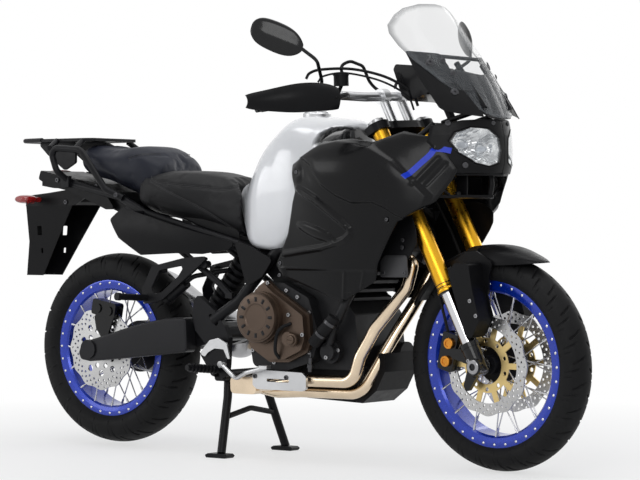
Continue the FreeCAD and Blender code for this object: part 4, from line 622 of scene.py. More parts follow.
# Colour, or the setting that holds it; roughness; what else sets the finish apart
PLAIN = {
    "satin_black": ("plastic", 0.36, dict(grain=0.25, grain_size=1400, specular=0.11)),
    "frame_black": ((0.009, 0.009, 0.0105), 0.4, dict(grain=0.15, grain_size=700, specular=0.14)),
    "casting_black": ((0.016, 0.016, 0.0175), 0.46,
                      dict(grain=0.6, grain_size=520, metal=0.1, specular=0.2)),
    "bronze_casting": ("cover_bronze", 0.38, dict(metal=0.65, grain=0.35, grain_size=800)),
    "fairing_black": ("fairing", 0.24, dict(grain=0.04, grain_size=1600, specular=0.15, coat=0.04,
                                            rough_spread=0.03)),
    "seat_black": ("rider_seat", 0.5, dict(grain=0.5, grain_size=420, specular=0.14)),
    "seat_blue": ("passenger_seat", 0.48, dict(grain=0.5, grain_size=420, specular=0.2)),
    "tyre_rubber": ((0.012, 0.012, 0.0125), 0.6, dict(grain=0.3, grain_size=600, specular=0.12)),
    "rim_blue": ("rim_blue", 0.26, dict(metal=0.4, coat=0.5, tone=0.05, rough_spread=0.03)),
    "ground_steel": ((0.50, 0.50, 0.50), 0.3, dict(metal=1.0, grain=0.1, grain_size=300)),
    "gold_anodised": ("fork_gold", 0.3, dict(metal=1.0, tone=0.05)),
    "pale_gold": ((0.66, 0.50, 0.22), 0.34, dict(metal=1.0, tone=0.05)),
    "hard_chrome": ((0.62, 0.62, 0.64), 0.08, dict(metal=1.0, tone=0.02, rough_spread=0.02)),
    "bare_alloy": ((0.55, 0.555, 0.565), 0.36, dict(metal=1.0, grain=0.2, grain_size=500)),
    "heated_steel": ((0.70, 0.57, 0.42), 0.2, dict(metal=1.0, tone_size=9)),
    "brushed_steel": ((0.42, 0.42, 0.43), 0.32, dict(metal=1.0, grain=0.15)),
    "dark_grey": ((0.016, 0.016, 0.018), 0.36, dict(metal=0.25, grain=0.15, specular=0.2)),
    "grip_rubber": ((0.011, 0.011, 0.012), 0.6, dict(grain=0.4, specular=0.12)),
    "gloss_black": ((0.006, 0.006, 0.007), 0.16,
                    dict(coat=0.08, rough_spread=0.03, specular=0.25)),
    "red_lens": ((0.32, 0.01, 0.01), 0.15, dict(coat=0.6)),
    "stripe_blue": ("blue_stripe", 0.3,
                    dict(coat=0.05, tone=0.04, rough_spread=0.03, specular=0.2)),
    "bright_screw": ((0.30, 0.30, 0.31), 0.27, dict(metal=1.0, grain=0.1)),
    "dark_steel": ((0.07, 0.07, 0.075), 0.34, dict(metal=0.9, grain=0.15)),
    "lamp_mirror": ((0.58, 0.60, 0.64), 0.07,
                    dict(metal=1.0, tone=0.7, tone_size=30, rough_spread=0.03)),
    "bulb_glass": ((0.66, 0.70, 0.76), 0.10,
                   dict(coat=0.8, tone=0.1, tone_size=60, rough_spread=0.03)),
    "bracket_grey": ((0.055, 0.055, 0.058), 0.4, dict(metal=0.5, grain=0.2, specular=0.3)),
    "piston_gold": ((0.62, 0.25, 0.035), 0.3, dict(metal=0.9, tone=0.08, tone_size=40)),
    "spoke_steel": ((0.58, 0.58, 0.60), 0.2, dict(metal=1.0, tone=0.05, rough_spread=0.04)),
    "seam_thread": ((0.03, 0.03, 0.032), 0.6, dict(grain=0.3, grain_size=2500)),
}


@cache
def finish(name):
    """The named finish, made when it is first asked for."""
    if name in SPECIAL:
        return SPECIAL[name](name)
    if name in GLASS:
        return clear_glass(name, *GLASS[name])
    tint, rough, rest = PLAIN[name]
    return plain(name, getattr(colours(), tint) if isinstance(tint, str) else tint, rough, **rest)


# Packed nodes of each finish

NODES_OF = {
    "frame_black": "frame subframe rear_shock nose_stay rack rider_footrests passenger_footrests "
                   "centre_stand side_stand rear_hub front_hub yokes",
    "satin_black": "side_covers screen_mount tail_unit skid_plate beak reservoir handguards "
                   "front_fender",
    "gloss_black": "rear_brake_caliper instrument fork_bottoms mirrors front_calipers",
    "fairing_black": "fairing_right fairing_left nose_cowl",
    "casting_black": "engine radiator",
    "bronze_casting": "engine_covers",
    "dark_grey": "swingarm shaft_drive",
    "bare_alloy": "exhaust_guard heel_guards pedals fork_caps handlebar",
    "heated_steel": "exhaust_pipes",
    "brushed_steel": "muffler",
    "hard_chrome": "lamp_bowls fork_inners",
    "ground_steel": "rear_disc front_discs",
    "gold_anodised": "fork_outers",
    "pale_gold": "front_carriers",
    "rim_blue": "rear_rim front_rim",
    "tyre_rubber": "rear_tyre front_tyre",
    "grip_rubber": "grips_controls hoses",
    "pearl_white": "fuel_tank",
    "seat_black": "rider_seat",
    "seat_blue": "passenger_seat",
    "red_lens": "tail_lamps",
    "screen_glass": "windscreen",
    "lamp_glass": "headlights",
}

SMOOTH_UP_TO = {"exhaust_pipes": 62, "hoses": 62, "handlebar": 50, "mirrors": 50,
                "grips_controls": 50, "front_fender": 40, "swingarm": 40}
SMOOTH_ELSE = 30


def dress_nodes():
    """Gives every packed node its finish and smooth shading between its loose triangles."""
    finish_of = {node: made for made, nodes in NODES_OF.items() for node in nodes.split()}
    for name, node in frame["nodes"].items():
        node.data.materials.clear()
        node.data.materials.append(finish(finish_of[name]))
        weld = node.modifiers.new("weld", "WELD")
        weld.merge_threshold = 1e-5
        node.data.polygons.foreach_set("use_smooth", np.ones(len(node.data.polygons), bool))
        split = node.modifiers.new("split", "EDGE_SPLIT")
        split.split_angle = math.radians(SMOOTH_UP_TO.get(name, SMOOTH_ELSE))
        split.use_edge_sharp = False


# Wheels


GROOVE_END = 0.012


def tyre_surface(axle, spin, outline, lean, grooves, steps, across, depth):
    """A tyre with cut grooves.

    The outline gives radius and half width against a share from bead to crown. The groove
    depth is full where the distance to the nearest slanted line, counted round the tyre and
    across it, is under half a groove width.
    """
    share = np.linspace(-1, 1, across)
    keys, radii, widths = (np.array(v, float) for v in zip(*outline))
    radius = np.interp(np.abs(share), keys, radii)
    width = np.interp(np.abs(share), keys, widths) * np.sign(share)
    radius, width = soften(radius, 1), soften(width, 1)
    turn = TURN * np.arange(steps) / steps
    cut = np.zeros((steps, across))
    crown = radii.max()
    for first, last, shift, slope, curl, half in grooves:
        side = np.where(share >= 0, 1.0, -1.0)
        travel = np.abs(share)
        within = (ease(travel, first - GROOVE_END, first + GROOVE_END)
                  * (1 - ease(travel, last - GROOVE_END, last + GROOVE_END)))
        middle = (shift + 0.5 * (side > 0) + slope * travel + curl * travel ** 2)[None, :]
        phase = (turn[:, None] / TURN * lean - middle) % 1.0
        gap = np.minimum(phase, 1 - phase) * TURN * crown / lean
        cut = np.maximum(cut, (1 - ease(gap, half * 0.75, half)) * within[None, :])
    axis, ring = circle_about(spin, steps)
    r = radius[None, :] - depth * cut
    pts = axle + ring[:, None] * r[..., None] + axis * width[None, :, None]
    return flipped(grid(pts, wrap_u=True))


def soften(values, rounds):
    """Each inner value drawn half way to the mean of its two neighbours."""
    for _ in range(rounds):
        values = np.concatenate([values[:1], 0.25 * values[:-2] + 0.5 * values[1:-1]
                                 + 0.25 * values[2:], values[-1:]])
    return values


# Grooves: share from crown to bead at both ends, shift, slope and curl round the tyre, half width
TREAD = [(0.10, 0.46, 0.00, 0.85, -0.25, 4.2), (0.30, 0.66, 0.33, 0.75, -0.30, 3.6),
         (0.52, 0.80, 0.62, 0.55, -0.15, 3.2)]


def tyre_outline(crown, width, bead, bead_half):
    """(share, radius, half width) from the crown at share 0 to the bead at share 1."""
    half = width / 2
    rise = crown - bead
    return [(0.0, crown, 0.0), (0.12, crown - 1.4, 0.22 * half), (0.25, crown - 5.5, 0.45 * half),
            (0.38, crown - 12.5, 0.68 * half), (0.50, crown - 22, 0.86 * half),
            (0.58, crown - 31, 0.945 * half), (0.66, bead + 0.52 * rise, 0.995 * half),
            (0.74, bead + 0.38 * rise, half), (0.82, bead + 0.26 * rise, 0.93 * half),
            (0.90, bead + 0.17 * rise, 0.80 * half), (0.95, bead + 0.13 * rise, bead_half + 4),
            (1.0, bead + 3, bead_half)]


# Tyres: (crown radius, width, bead radius, bead half width), grooves round, steps round and across
TYRES = {"front": ((329.0, 110.0, 243.0, 34.0), 26, 1180, 61),
         "rear": ((321.0, 150.0, 219.0, 52.0), 24, 1120, 71)}


def build_wheels():
    for end, axle, spin in WHEELS:
        outline, count, steps, across = TYRES[end]
        deep = getattr(sizes(), end + "_groove") / MM
        tyre = tyre_surface(axle, spin, tyre_outline(*outline), count, TREAD, steps, across, deep)
        make_piece(end + "_tyre_tread", [tyre], "tyre_rubber", end + "_wheel",
                   [end + "_tyre"], 40, keep_winding=True)


# Tank: x, half width, lowest and highest point, squareness, height of the widest line, foot

TANK_ROWS = np.array([
    (-176, 70, 800, 880, 2.4, 0.40, 2.4), (-120, 106, 730, 900, 2.6, 0.38, 3.5),
    (-62, 156, 676, 950, 3.0, 0.38, 6), (-15, 178, 668, 1010, 3.0, 0.45, 8),
    (35, 183, 664, 1060, 3.0, 0.50, 8), (75, 188, 670, 1088, 3.0, 0.52, 8),
    (130, 191, 700, 1095, 2.8, 0.54, 7), (190, 190, 740, 1088, 2.6, 0.50, 5),
    (258, 168, 830, 1077, 2.4, 0.50, 4), (296, 120, 900, 1058, 2.3, 0.50, 2.4)], float)
# Room for the head at the front top of the tank: drawn in and painted near black as shade.
HEAD_ROOM = [(214, 1000), (224, 1032), (250, 1052), (300, 1058), (330, 1058), (330, 1000)]
CAP_X, CAP_Z, CAP_RING = 97, 1094.0, 40


def tank_surface():
    """Rounded-box sections carried along x.

    With e = 2 / squareness: y = w |cos t|^e and z = belly + half height |sin t|^e, each with its
    sign; w, the heights, the squareness and the belly are splines of x. The ends close in a dome.
    """
    rows = TANK_ROWS
    n, m = 130, 128
    x = np.linspace(rows[0, 0], rows[-1, 0], n)
    w = spline_weights(rows[:, 0], x)
    half, low, high, square, belly, foot = (w @ rows[:, k] for k in range(1, 7))
    end = np.clip(np.minimum(x - rows[0, 0], rows[-1, 0] - x) / 26, 0, 1)
    dome = np.sqrt(np.clip(1 - (1 - end) ** 2, 1e-4, 1))
    t = TURN * np.arange(m) / m
    c, s = np.cos(t)[None], np.sin(t)[None]
    e = np.where(s < 0, 2 / foot[:, None], 2 / square[:, None])
    mid = (low + belly * (high - low))[:, None]
    y = half[:, None] * dome[:, None] * np.sign(c) * np.abs(c) ** e
    up = np.where(s >= 0, (high[:, None] - mid), (mid - low[:, None])) * dome[:, None]
    z = mid + up * np.sign(s) * np.abs(s) ** e
    flat = np.stack([np.broadcast_to(x[:, None], z.shape).ravel(), z.ravel()], 1)
    # The head room is drawn in here and marked below for its painted shade.
    room = pad(flat, HEAD_ROOM, 1.0, 5).reshape(z.shape)
    y = y - np.sign(y) * np.minimum(np.abs(y) * 0.3, 26.0) * room
    crease = ridge(flat, [(-60, 940), (20, 1010), (110, 1050), (200, 1056)], 1.0,
                   26).reshape(z.shape)
    y = y + np.sign(y) * 2.2 * crease * (np.abs(y) > 40)
    pts = np.stack([np.broadcast_to(x[:, None], z.shape), y, z], -1)
    pts = np.concatenate([pts[:1] * 0 + pts[0].mean(0), pts, pts[:1] * 0 + pts[-1].mean(0)])
    # dark is 1 over the head room and at the front pole: where painted shade goes on the tank.
    dark = np.concatenate([room[:1] * 0, room, room[-1:] * 0 + 1]).ravel()
    return flipped(grid(pts, wrap_v=True)), dark


def build_tank():
    surface, dark = tank_surface()
    # The dark mark carries the painted shade of the head room into the finish.
    make_piece("tank_shell", [surface], "pearl_white", "chassis",
                      ["fuel_tank"], 60, marks={"dark": dark})
    cap = [(POLE, 21), (19, 21), (22, 20), (33, 19.5), (36, 17), (37, 12), (43, 12), (45, 9),
           (45, -12),
           (40, -12), (POLE, -12)]
    lid = revolve(cap, (CAP_X, 0, CAP_Z), (0, 0, 1), 64)
    slot = rounded_box((CAP_X - 12, -3.5, CAP_Z + 20.4), (CAP_X + 12, 3.5, CAP_Z + 23.2), 0.8)
    make_piece("tank_cap_ring", [flipped(lid), slot], "bare_alloy", "chassis")
    bolts = [bolt((CAP_X + CAP_RING * math.cos(a), CAP_RING * math.sin(a), CAP_Z + 11.6),
                  (0, 0, 1), 3.4, 2.2)
             for a in np.arange(6) * TURN / 6]
    make_piece("tank_cap_bolts", bolts, "dark_steel", "chassis")


# Side fairings: half width of the skin over x and z

FAIR_X = [40, 130, 220, 320, 420, 520, 620, 700, 790]
FAIR_Z = [490, 600, 700, 800, 880, 950, 1010, 1060]
FAIR_HALF = np.array([
    [178, 182, 186, 188, 186, 180, 170, 150, 118],
    [180, 188, 198, 206, 206, 200, 188, 160, 120],
    [182, 196, 214, 228, 232, 226, 205, 170, 125],
    [184, 204, 232, 250, 254, 246, 219, 168, 120],
    [184, 208, 240, 258, 262, 250, 215, 165, 120],
    [182, 200, 232, 252, 256, 242, 206, 163, 122],
    [170, 182, 206, 224, 230, 220, 190, 155, 120],
    [150, 155, 165, 178, 185, 180, 165, 145, 115]], float)
FAIR_OUTLINE = [(180, 852), (162, 816), (130, 720), (85, 645), (74, 623), (96, 588), (327, 514),
                (349, 517), (466, 576), (487, 632), (575, 760), (590, 764), (678, 817),
                (721, 885), (735, 915), (682, 997), (667, 1012), (596, 1027), (575, 1033),
                (485, 1000), (402, 1012), (289, 1004), (207, 958), (160, 936)]
COWL = [(204, 956), (226, 952), (262, 934), (286, 900), (311, 871), (367, 838), (425, 816),
        (500, 816), (540, 800), (574, 778), (598, 768), (650, 788), (667, 836), (634, 873),
        (562, 943), (487, 988), (410, 1003), (352, 1008), (289, 998)]
BAND_UP = [(204, 850), (270, 822), (330, 783), (390, 744)]
V_UP = [(196, 862), (232, 850), (280, 828), (330, 795), (376, 762), (404, 736)]
V_LOW = [(404, 720), (377, 702), (340, 690), (277, 676), (205, 668), (112, 656)]
STRIPE = [(601, 892), (634, 928), (663, 960), (673, 975), (693, 976), (719, 971)]
FAIR_SCREWS = [(192, 912), (540, 765), (90, 628), (670, 984), (86, 590)]


def relief(p):
    """Height of the mouldings over the plain skin: steps, ridges and bulges laid on x and z."""
    x, z = p[:, 0], p[:, 1]
    high = pad(p, COWL, 11.0, 12)
    high += 7.0 * ease(z, 830, 930) * (1 - ease(x, 560, 660)) * pad(p, COWL, 1, 60)
    high += ridge(p, V_UP, 9.0, 15) + ridge(p, BAND_UP, 4.0, 9) + ridge(p, V_LOW, 9.0, 14)
    turn = math.radians(-18)
    u = (x - 262) * math.cos(turn) + (z - 726) * math.sin(turn)
    v = -(x - 262) * math.sin(turn) + (z - 726) * math.cos(turn)
    high += 9.0 * np.sqrt(np.clip(1 - (u / 88) ** 2 - (v / 19) ** 2, 0, 1))
    high -= 5.0 * (1 - ease(z, 606, 614)) * ease(x, 100, 120)
    high += ridge(p, [(92, 611), (280, 609), (470, 607)], 1.6, 7)
    high += ridge(p, [(356, 600), (342, 524)], 2.2, 8) + ridge(p, [(430, 604), (412, 552)], 1.8, 8)
    high += ridge(p, [(628, 876), (685, 948)], 5.0, 12)
    high -= ridge(p, [(656, 868), (706, 932)], 3.0, 9)
    square = [(346, 536), (396, 536), (396, 510), (346, 510)]
    high += ridge(p, square, 1.6, 4, True)
    ear = np.hypot(x - 190, z - 908)
    high += 6.0 * (1 - ease(ear, 14, 40))
    for sx, sz in FAIR_SCREWS:
        high -= 3.0 * (1 - ease(np.hypot(x - sx, z - sz), 8, 11))
    return high


def fair_place(side):
    """y = half width over (x, z) + relief - depth; the back wall follows only what is sunk."""
    def place(p, depth):
        skin = np.einsum("pi,ki,pk->p", spline_weights(FAIR_X, p[:, 0]), FAIR_HALF,
                         spline_weights(FAIR_Z, p[:, 1]))
        high = relief(p)
        y = skin + np.where(depth < 3, high, np.minimum(high, 0)) - depth
        return np.stack([p[:, 0], side * y, p[:, 1]], 1)
    return place


def flat_place(side, half):
    """Upright plane at y = side (half - depth)."""
    def place(p, depth):
        return np.stack([p[:, 0], side * (half - depth), p[:, 1]], 1)
    return place


def outward(part, side):
    """A part drawn for the left side, with its faces turned when it lies on the right."""
    return part if side > 0 else flipped(part)


def ribbon(line, half, place, lift, across=5):
    """A flat band along a line, lift above the face: edge points = line +- half the normal."""
    path = smooth_path(np.column_stack([line, np.zeros(len(line))]), 12)[:, :2]
    t = np.gradient(path, axis=0)
    t /= np.linalg.norm(t, axis=1)[:, None]
    normal = np.stack([-t[:, 1], t[:, 0]], 1)
    s = np.linspace(-1, 1, across)
    flat = path[:, None] + normal[:, None] * (s * half)[None, :, None]
    top = place(flat.reshape(-1, 2), np.full(flat.shape[0] * across, -lift))
    low = place(flat[:, ::-1].reshape(-1, 2), np.full(flat.shape[0] * across, 0.4))
    both = np.concatenate([top.reshape(-1, across, 3), low.reshape(-1, across, 3)], 1)
    cap = both.mean(1, keepdims=True)
    both = np.concatenate([np.repeat(cap[:1], 2 * across, 1), both,
                           np.repeat(cap[-1:], 2 * across, 1)])
    return grid(both, wrap_v=True)


# Inner panels: flat satin-black sheets behind the forks, put there as painted shade.
INNER_LOW = [(448, 606), (448, 752), (470, 790), (520, 815)]
INNER_FRONT = {"right": [(564, 806), (578, 775), (592, 730), (596, 690)],
               "left": [(600, 822), (640, 812), (668, 790), (668, 757), (655, 732), (628, 692)]}
INNER_FOOT = [(560, 640), (500, 612)]
INNER_HALF = 158.0


def build_fairings():
    for name, side in SIDES:
        place = fair_place(side)
        skin = shell(FAIR_OUTLINE, np.array([400.0, 800.0]), place, 3.2, 80, 460, 9, 2.5, 0.03)
        band = ribbon(STRIPE, sizes().stripe_half / MM, place, 0.7)
        at = place(np.array(FAIR_SCREWS, float), np.full(len(FAIR_SCREWS), 0.0))
        screws = [bolt(p, (0, side, 0.05), 6.2, 3.4) for p in at]
        make_piece("fairing_skin_" + name, [outward(skin, side)], "fairing_black", "chassis",
                   ["fairing_" + name], 50)
        make_piece("fairing_stripe_" + name, [outward(band, side)], "stripe_blue", "chassis",
                   sharp=50)
        make_piece("fairing_screws_" + name, screws, "dark_steel", "chassis")
        # Flat satin-black sheet inside the fairing: painted shade behind the forks.
        wall = shell(INNER_LOW + INNER_FRONT[name] + INNER_FOOT, np.array([520.0, 720.0]),
                     flat_place(side, INNER_HALF), 3.0, 8, 90, 8, 1.0)
        make_piece("inner_panel_" + name, [outward(wall, side)], "satin_black", "chassis")


# Nose: x of its face over y and z

NOSE_LINE = np.array([(700, 705), (765, 748), (835, 774), (905, 802), (930, 809), (975, 812),
                      (1020, 808), (1060, 799), (1100, 784)], float)
NOSE_EDGE = [(0, 903), (-138, 903), (-154, 916), (-164, 952), (-183, 1000), (-174, 1048),
             (-120, 1064),
             (-60, 1068), (0, 1070)]
LAMP_EDGE = [(-152, 1000), (-140, 1028), (-108, 1044), (-60, 1040), (-24, 1012), (-17, 975),
             (-24, 936), (-60, 924), (-100, 934), (-138, 966)]
LAMP_MID = np.array([-86.0, 984.0])
LAMP_DISHES = (((-104, 990), 52.0, 11), ((-52, 978), 46.0, 9))


def nose_x(p):
    """x = value of the profile at z - 0.0026 y^2 - 0.000011 y^3."""
    y = np.abs(p[:, 0])
    return np.interp(p[:, 1], NOSE_LINE[:, 0],
                     NOSE_LINE[:, 1]) - 0.0026 * y ** 2 - 0.000011 * y ** 3


def nose_place(extra=0.0):
    """Places on the face of the nose, extra ahead of it."""
    def place(p, depth):
        return np.stack([nose_x(p) + extra - depth, p[:, 0], p[:, 1]], 1)
    return place


def lamp_bowl():
    """Two overlapping dishes with facets, set behind the lamp glass.

    Depth = the deeper of two dishes 50 (1 - (d / R)^2), d the distance to each dish's middle;
    facets are steps of the angle round that middle and of d. The rim meets the glass edge.
    """
    count, rings = 160, 36
    edge = ring_of(LAMP_EDGE, count, 9)
    s = np.linspace(0, 1, rings)
    flat = (LAMP_MID + s[:, None, None] * (edge - LAMP_MID)[None]).reshape(-1, 2)
    depth = np.full(len(flat), 6.0)
    for (cy, cz), size, _ in LAMP_DISHES:
        d = np.hypot(flat[:, 0] - cy, flat[:, 1] - cz)
        a = np.arctan2(flat[:, 1] - cz, flat[:, 0] - cy)
        step = np.abs(((a / TURN * 18) % 1) - 0.5) * 2
        tier = np.abs(((d / size * 4) % 1) - 0.5) * 2
        dish = 50 * (1 - (d / size) ** 2) + 2.4 * step * ease(d, 8, 20) + 2.0 * tier
        depth = np.maximum(depth, dish)
    depth = 4 + (depth - 4) * (1 - ease(np.repeat(s, count), 0.86, 1.0))
    pts = nose_place()(flat, depth).reshape(rings, count, 3)
    back = nose_place()(flat, depth + 2.0).reshape(rings, count, 3)[::-1]
    return flipped(grid(np.concatenate([pts, back]), wrap_v=True))


def both_sides(*parts):
    """Each part followed by its mirror image."""
    return [made for part in parts for made in (part, mirrored(part))]


def build_nose():
    cowl = annulus(NOSE_EDGE, LAMP_EDGE, LAMP_MID, nose_place(), 4.0, 30, 240, 3.0)
    inner = [(LAMP_MID + (np.array(q) - LAMP_MID) * 0.955).tolist() for q in LAMP_EDGE]
    rim = annulus(LAMP_EDGE, inner, LAMP_MID, nose_place(1.4), 8.0, 6, 240, 1.2)
    lens = shell(LAMP_EDGE, LAMP_MID, nose_place(0.4), 2.0, 24, 160, 9, 2.0, 0.1)
    balls = []
    for (cy, cz), _, r in LAMP_DISHES:
        dome = [(POLE, 14), (0.5 * r, 12.6), (0.84 * r, 8), (r, 0), (r, -20), (POLE, -20)]
        at = (nose_x(np.array([[cy, cz]]))[0] - 38, cy, cz)
        balls.append(flipped(revolve(dome, at, (1, 0, 0), 24)))
    make_piece("nose_shell", both_sides(cowl), "satin_black", "chassis",
               ["nose_cowl"], 40)
    make_piece("lamp_rims", both_sides(rim), "gloss_black", "chassis", sharp=40)
    make_piece("lamp_glasses", both_sides(lens), "lamp_glass", "chassis", ["headlights"],
               50)
    make_piece("lamp_reflectors", both_sides(lamp_bowl()), "lamp_mirror", "chassis",
               ["lamp_bowls"], 20)
    make_piece("lamp_bulbs", both_sides(*balls), "bulb_glass", "chassis")
    screws = []
    for y, z in ((166, 1012), (150, 926), (-40, 1056), (40, 1056)):
        x = nose_x(np.array([[y, z]]))[0]
        screws.append(bolt((x - 0.5, y, z), (0.8, 0.6 * np.sign(y), 0.1), 6.5, 4.0))
    screws += bolts_at(from_view(["nose_shell"], [(448, 123.3), (465.3, 165.1)]), 9.0, 5.0)
    make_piece("nose_screws", screws, "dark_steel", "chassis")
    build_beak()


def plate(outline, z, thick, dome=0.0):
    """A level plate over an outline in x and y, its top raised by dome in the middle."""
    mid = np.array(outline, float).mean(0)

    def place(p, depth):
        share = along_line(p, outline, True)
        return np.stack([p[:, 0], p[:, 1], z + dome * ease(share, 0, 30) - depth], 1)
    return shell(outline, mid, place, thick, 14, 140, 6, 1.0, 0.1)


def build_beak():
    near = [(614, -160), (668, -150), (742, -104), (792, -50), (806, 0)]
    front = near + [(x, -y) for x, y in near[-2::-1]]
    shelf = plate(front + [(608, 150), (608, -150)], 904.5, 6.0)
    tray = np.array([(660, -150), (690, -122), (762, -14), (772, 0)], float)
    tray_edge = [tuple(q) for q in tray] + [(x, -y) for x,
                                            y in tray[-2::-1]] + [(656, 130), (656, -130)]
    under = plate(tray_edge, 840.0, 8.0, -3.0)
    post = bent_path([(757, 0, 838), (764, 0, 870), (760, 0, 902)], 20)
    webs = [rounded_box((684, s * 69 - 3, 838), (722, s * 69 + 3, 900), 1) for s in (-1, 1)]
    bars = [sweep(bent_path([(690, s * 122, 840), (684, s * 150, 858), (678, s * 176, 862)], 20),
                  5)
            for s in (-1, 1)]
    knob = revolve([(POLE, 12), (7, 12), (9, 9), (9, 0), (POLE, 0)], (703, -92, 838), (0, 0, 1),
                   24)
    make_piece("beak_frame", [shelf, under, sweep(post, 9), flipped(knob)] + webs + bars,
               "satin_black",
               "chassis", ["beak"], 40)


# Screen: x of its face over y and z

SCREEN_LINE = np.array([(1060, 816), (1100, 799), (1149, 774), (1194, 747), (1251, 704),
                        (1331, 639),
                        (1388, 594), (1432, 552)], float)
SCREEN_EDGE = [(0, 1431), (70, 1427), (130, 1411), (165, 1389), (195, 1357), (203, 1330),
               (201, 1290), (189, 1240), (159, 1180), (117, 1120), (70, 1082), (30, 1072),
               (0, 1072)]


def screen_place(p, depth):
    """x = spline of z - 0.0027 y^2 - depth."""
    line = spline_weights(SCREEN_LINE[:, 0], p[:, 1]) @ SCREEN_LINE[:, 1]
    return np.stack([line - 0.0027 * p[:, 0] ** 2 - depth, p[:, 0], p[:, 1]], 1)


def build_screen():
    edge = SCREEN_EDGE + [(-y, z) for y, z in SCREEN_EDGE[-2:0:-1]]
    pane = shell(edge, np.array([0.0, 1260.0]), screen_place, 3.0, 60, 260, 14, 0.6, 0.02)
    depth = along_line(pane[0][:, 1:], edge, True)
    make_piece("screen_pane", [pane], "screen_plastic", "chassis", ["windscreen"],
               50,
               marks={"edge": 1 - ease(depth, 0, 16)})
    low = [(0, 1066), (-60, 1072), (-112, 1108), (-165, 1180), (-172, 1215), (-120, 1222),
           (-60, 1212),
           (0, 1206)]
    low += [(-y, z) for y, z in low[-2:0:-1]]

    def behind(p, depth):
        crease = 9.0 * np.clip(1 - np.abs(np.abs(p[:, 0]) - 70) / 40, 0, 1)
        return screen_place(p, depth + 13.0 - crease)
    cover = shell(low, np.array([0.0, 1145.0]), behind, 3.0, 40, 200, 10, 1.5, 0.05)
    make_piece("screen_lower_cover", [cover], "gloss_black", "chassis", sharp=50)
    bolts = []
    for _, s in SIDES:
        way = (0.74, -0.6 * s, 0.3)
        for y, z, r in ((-160, 1238, 9.5), (-140, 1146, 9.5), (-122, 1246, 5), (-118, 1206, 5)):
            at = screen_place(np.array([[s * y, z]], float), np.array([0.0]))[0]
            bolts.append(bolt(at - [1, 0, 0], way, r, 0.45 * r + 2))
            washer = [(POLE, 1.6), (r + 3, 1.6), (r + 4, 0), (POLE, -1)]
            bolts.append(flipped(revolve(washer, at, way, 24)))
    make_piece("screen_bolts", bolts, "dark_steel", "chassis")


# Seats: cushions swollen from the packed solids


def points_of(mesh):
    """The points of a mesh in millimetres."""
    return read_points(mesh).astype(float) / MM


def move_points(mesh, points):
    mesh.vertices.foreach_set("co", (points * MM).astype(np.float32).ravel())
    mesh.update()


def normals_of(mesh):
    way = np.empty(len(mesh.vertices) * 3, np.float32)
    mesh.vertex_normals.foreach_get("vector", way)
    return way.reshape(-1, 3).astype(float)


def settle(piece):
    """Puts what the modifiers made into the mesh of the piece and clears them."""
    state = bpy.context.evaluated_depsgraph_get()
    made = bpy.data.meshes.new_from_object(piece.evaluated_get(state))
    piece.modifiers.clear()
    old, piece.data = piece.data, made
    bpy.data.meshes.remove(old)
    made.name = piece.name


PRESSURE = 4.0
CLOTH_STEPS = 20


def swollen(name, node, shrink, cell, cap):
    """A cushion: the solid drawn in along its normals, cut to even cells and blown up as cloth.

    New point = old point + move * min(1, cap / length of the move).
    """
    mesh = frame["nodes"][node].data.copy()
    mesh.name = name
    build = bmesh.new()
    build.from_mesh(mesh)
    bmesh.ops.remove_doubles(build, verts=build.verts, dist=1e-5)
    build.to_mesh(mesh)
    build.free()
    mesh.materials.clear()
    move_points(mesh, points_of(mesh) - shrink * normals_of(mesh))
    piece = bpy.data.objects.new(name, mesh)
    scene = bpy.context.scene
    scene.collection.objects.link(piece)
    even = piece.modifiers.new("even_cells", "REMESH")
    even.mode = "VOXEL"
    even.voxel_size = cell * MM
    soft = piece.modifiers.new("soften", "SMOOTH")
    soft.factor = 0.5
    soft.iterations = 6
    settle(piece)
    start = points_of(piece.data)
    cloth = piece.modifiers.new("swell", "CLOTH")
    cloth.settings.use_pressure = True
    cloth.settings.uniform_pressure_force = PRESSURE
    cloth.settings.effector_weights.gravity = 0
    for step in range(1, CLOTH_STEPS + 1):
        scene.frame_set(step)
    settle(piece)
    move = points_of(piece.data) - start
    far = np.linalg.norm(move, axis=1)[:, None]
    move_points(piece.data, start + move * np.minimum(1, cap / np.maximum(far, 1e-6)))
    scene.frame_set(1)
    return piece


SEAM_HALF = 9.0
SEAM_OUT = 40.0


def pressed(mesh, line, side, depth):
    """Sewn groove: points near the line on one side sink by depth (1 - smooth step)."""
    co = points_of(mesh)
    near = 1 - ease(along_line(co[:, [0, 2]], line), 0, SEAM_HALF)
    near = near * (co[:, 1] * side > SEAM_OUT)
    move_points(mesh, co - normals_of(mesh) * (near * depth)[:, None])


def seam_on(name, line, side):
    """The line, smoothed and laid on the skin of the piece from one side."""
    flat = smooth_path(np.column_stack([line, np.zeros(len(line))]), 12)[:, :2]
    return np.array([place for place, _ in from_side([name], side, flat)])


def stitches(path, pitch, length, radius, offset=(0, 0, 0)):
    """Short dashes along a path, one each pitch."""
    path = path + np.asarray(offset, float)
    s = np.concatenate([[0], np.cumsum(np.linalg.norm(np.diff(path, axis=0), axis=1))])
    first = np.arange(2.0, s[-1] - length, pitch)
    at = [np.stack([np.interp(first + k * length / 2, s, path[:, c]) for c in range(3)], 1)
          for k in range(3)]
    return [sweep(np.stack([a, b, c]), radius, 6) for a, b, c in zip(*at)]


# Cushions: piece, node, finish, seams in x and z
SEATS = (
    ("rider_seat_pad", "rider_seat", "seat_black",
     [[(-494, 908), (-446, 887), (-394, 880), (-292, 870), (-195, 862), (-128, 873), (-87, 885)],
      [(-477, 890), (-377, 852), (-258, 796), (-130, 722)]]),
    ("passenger_seat_pad", "passenger_seat", "seat_blue",
     [[(-590, 968), (-525, 981), (-398, 979), (-325, 964), (-280, 930)]]))
SHRINK = 0.6
# Flat black sheets under the seat and below the tank's front: painted shade in the gaps between
# the parts.
SEAT_GAP_SHADE = [(-480, 850), (-300, 790), (-135, 728), (-132, 690), (-300, 742), (-485, 815)]
TANK_FOOT_SHADE = [(-70, 702), (118, 702), (118, 566), (24, 566), (-58, 640)]


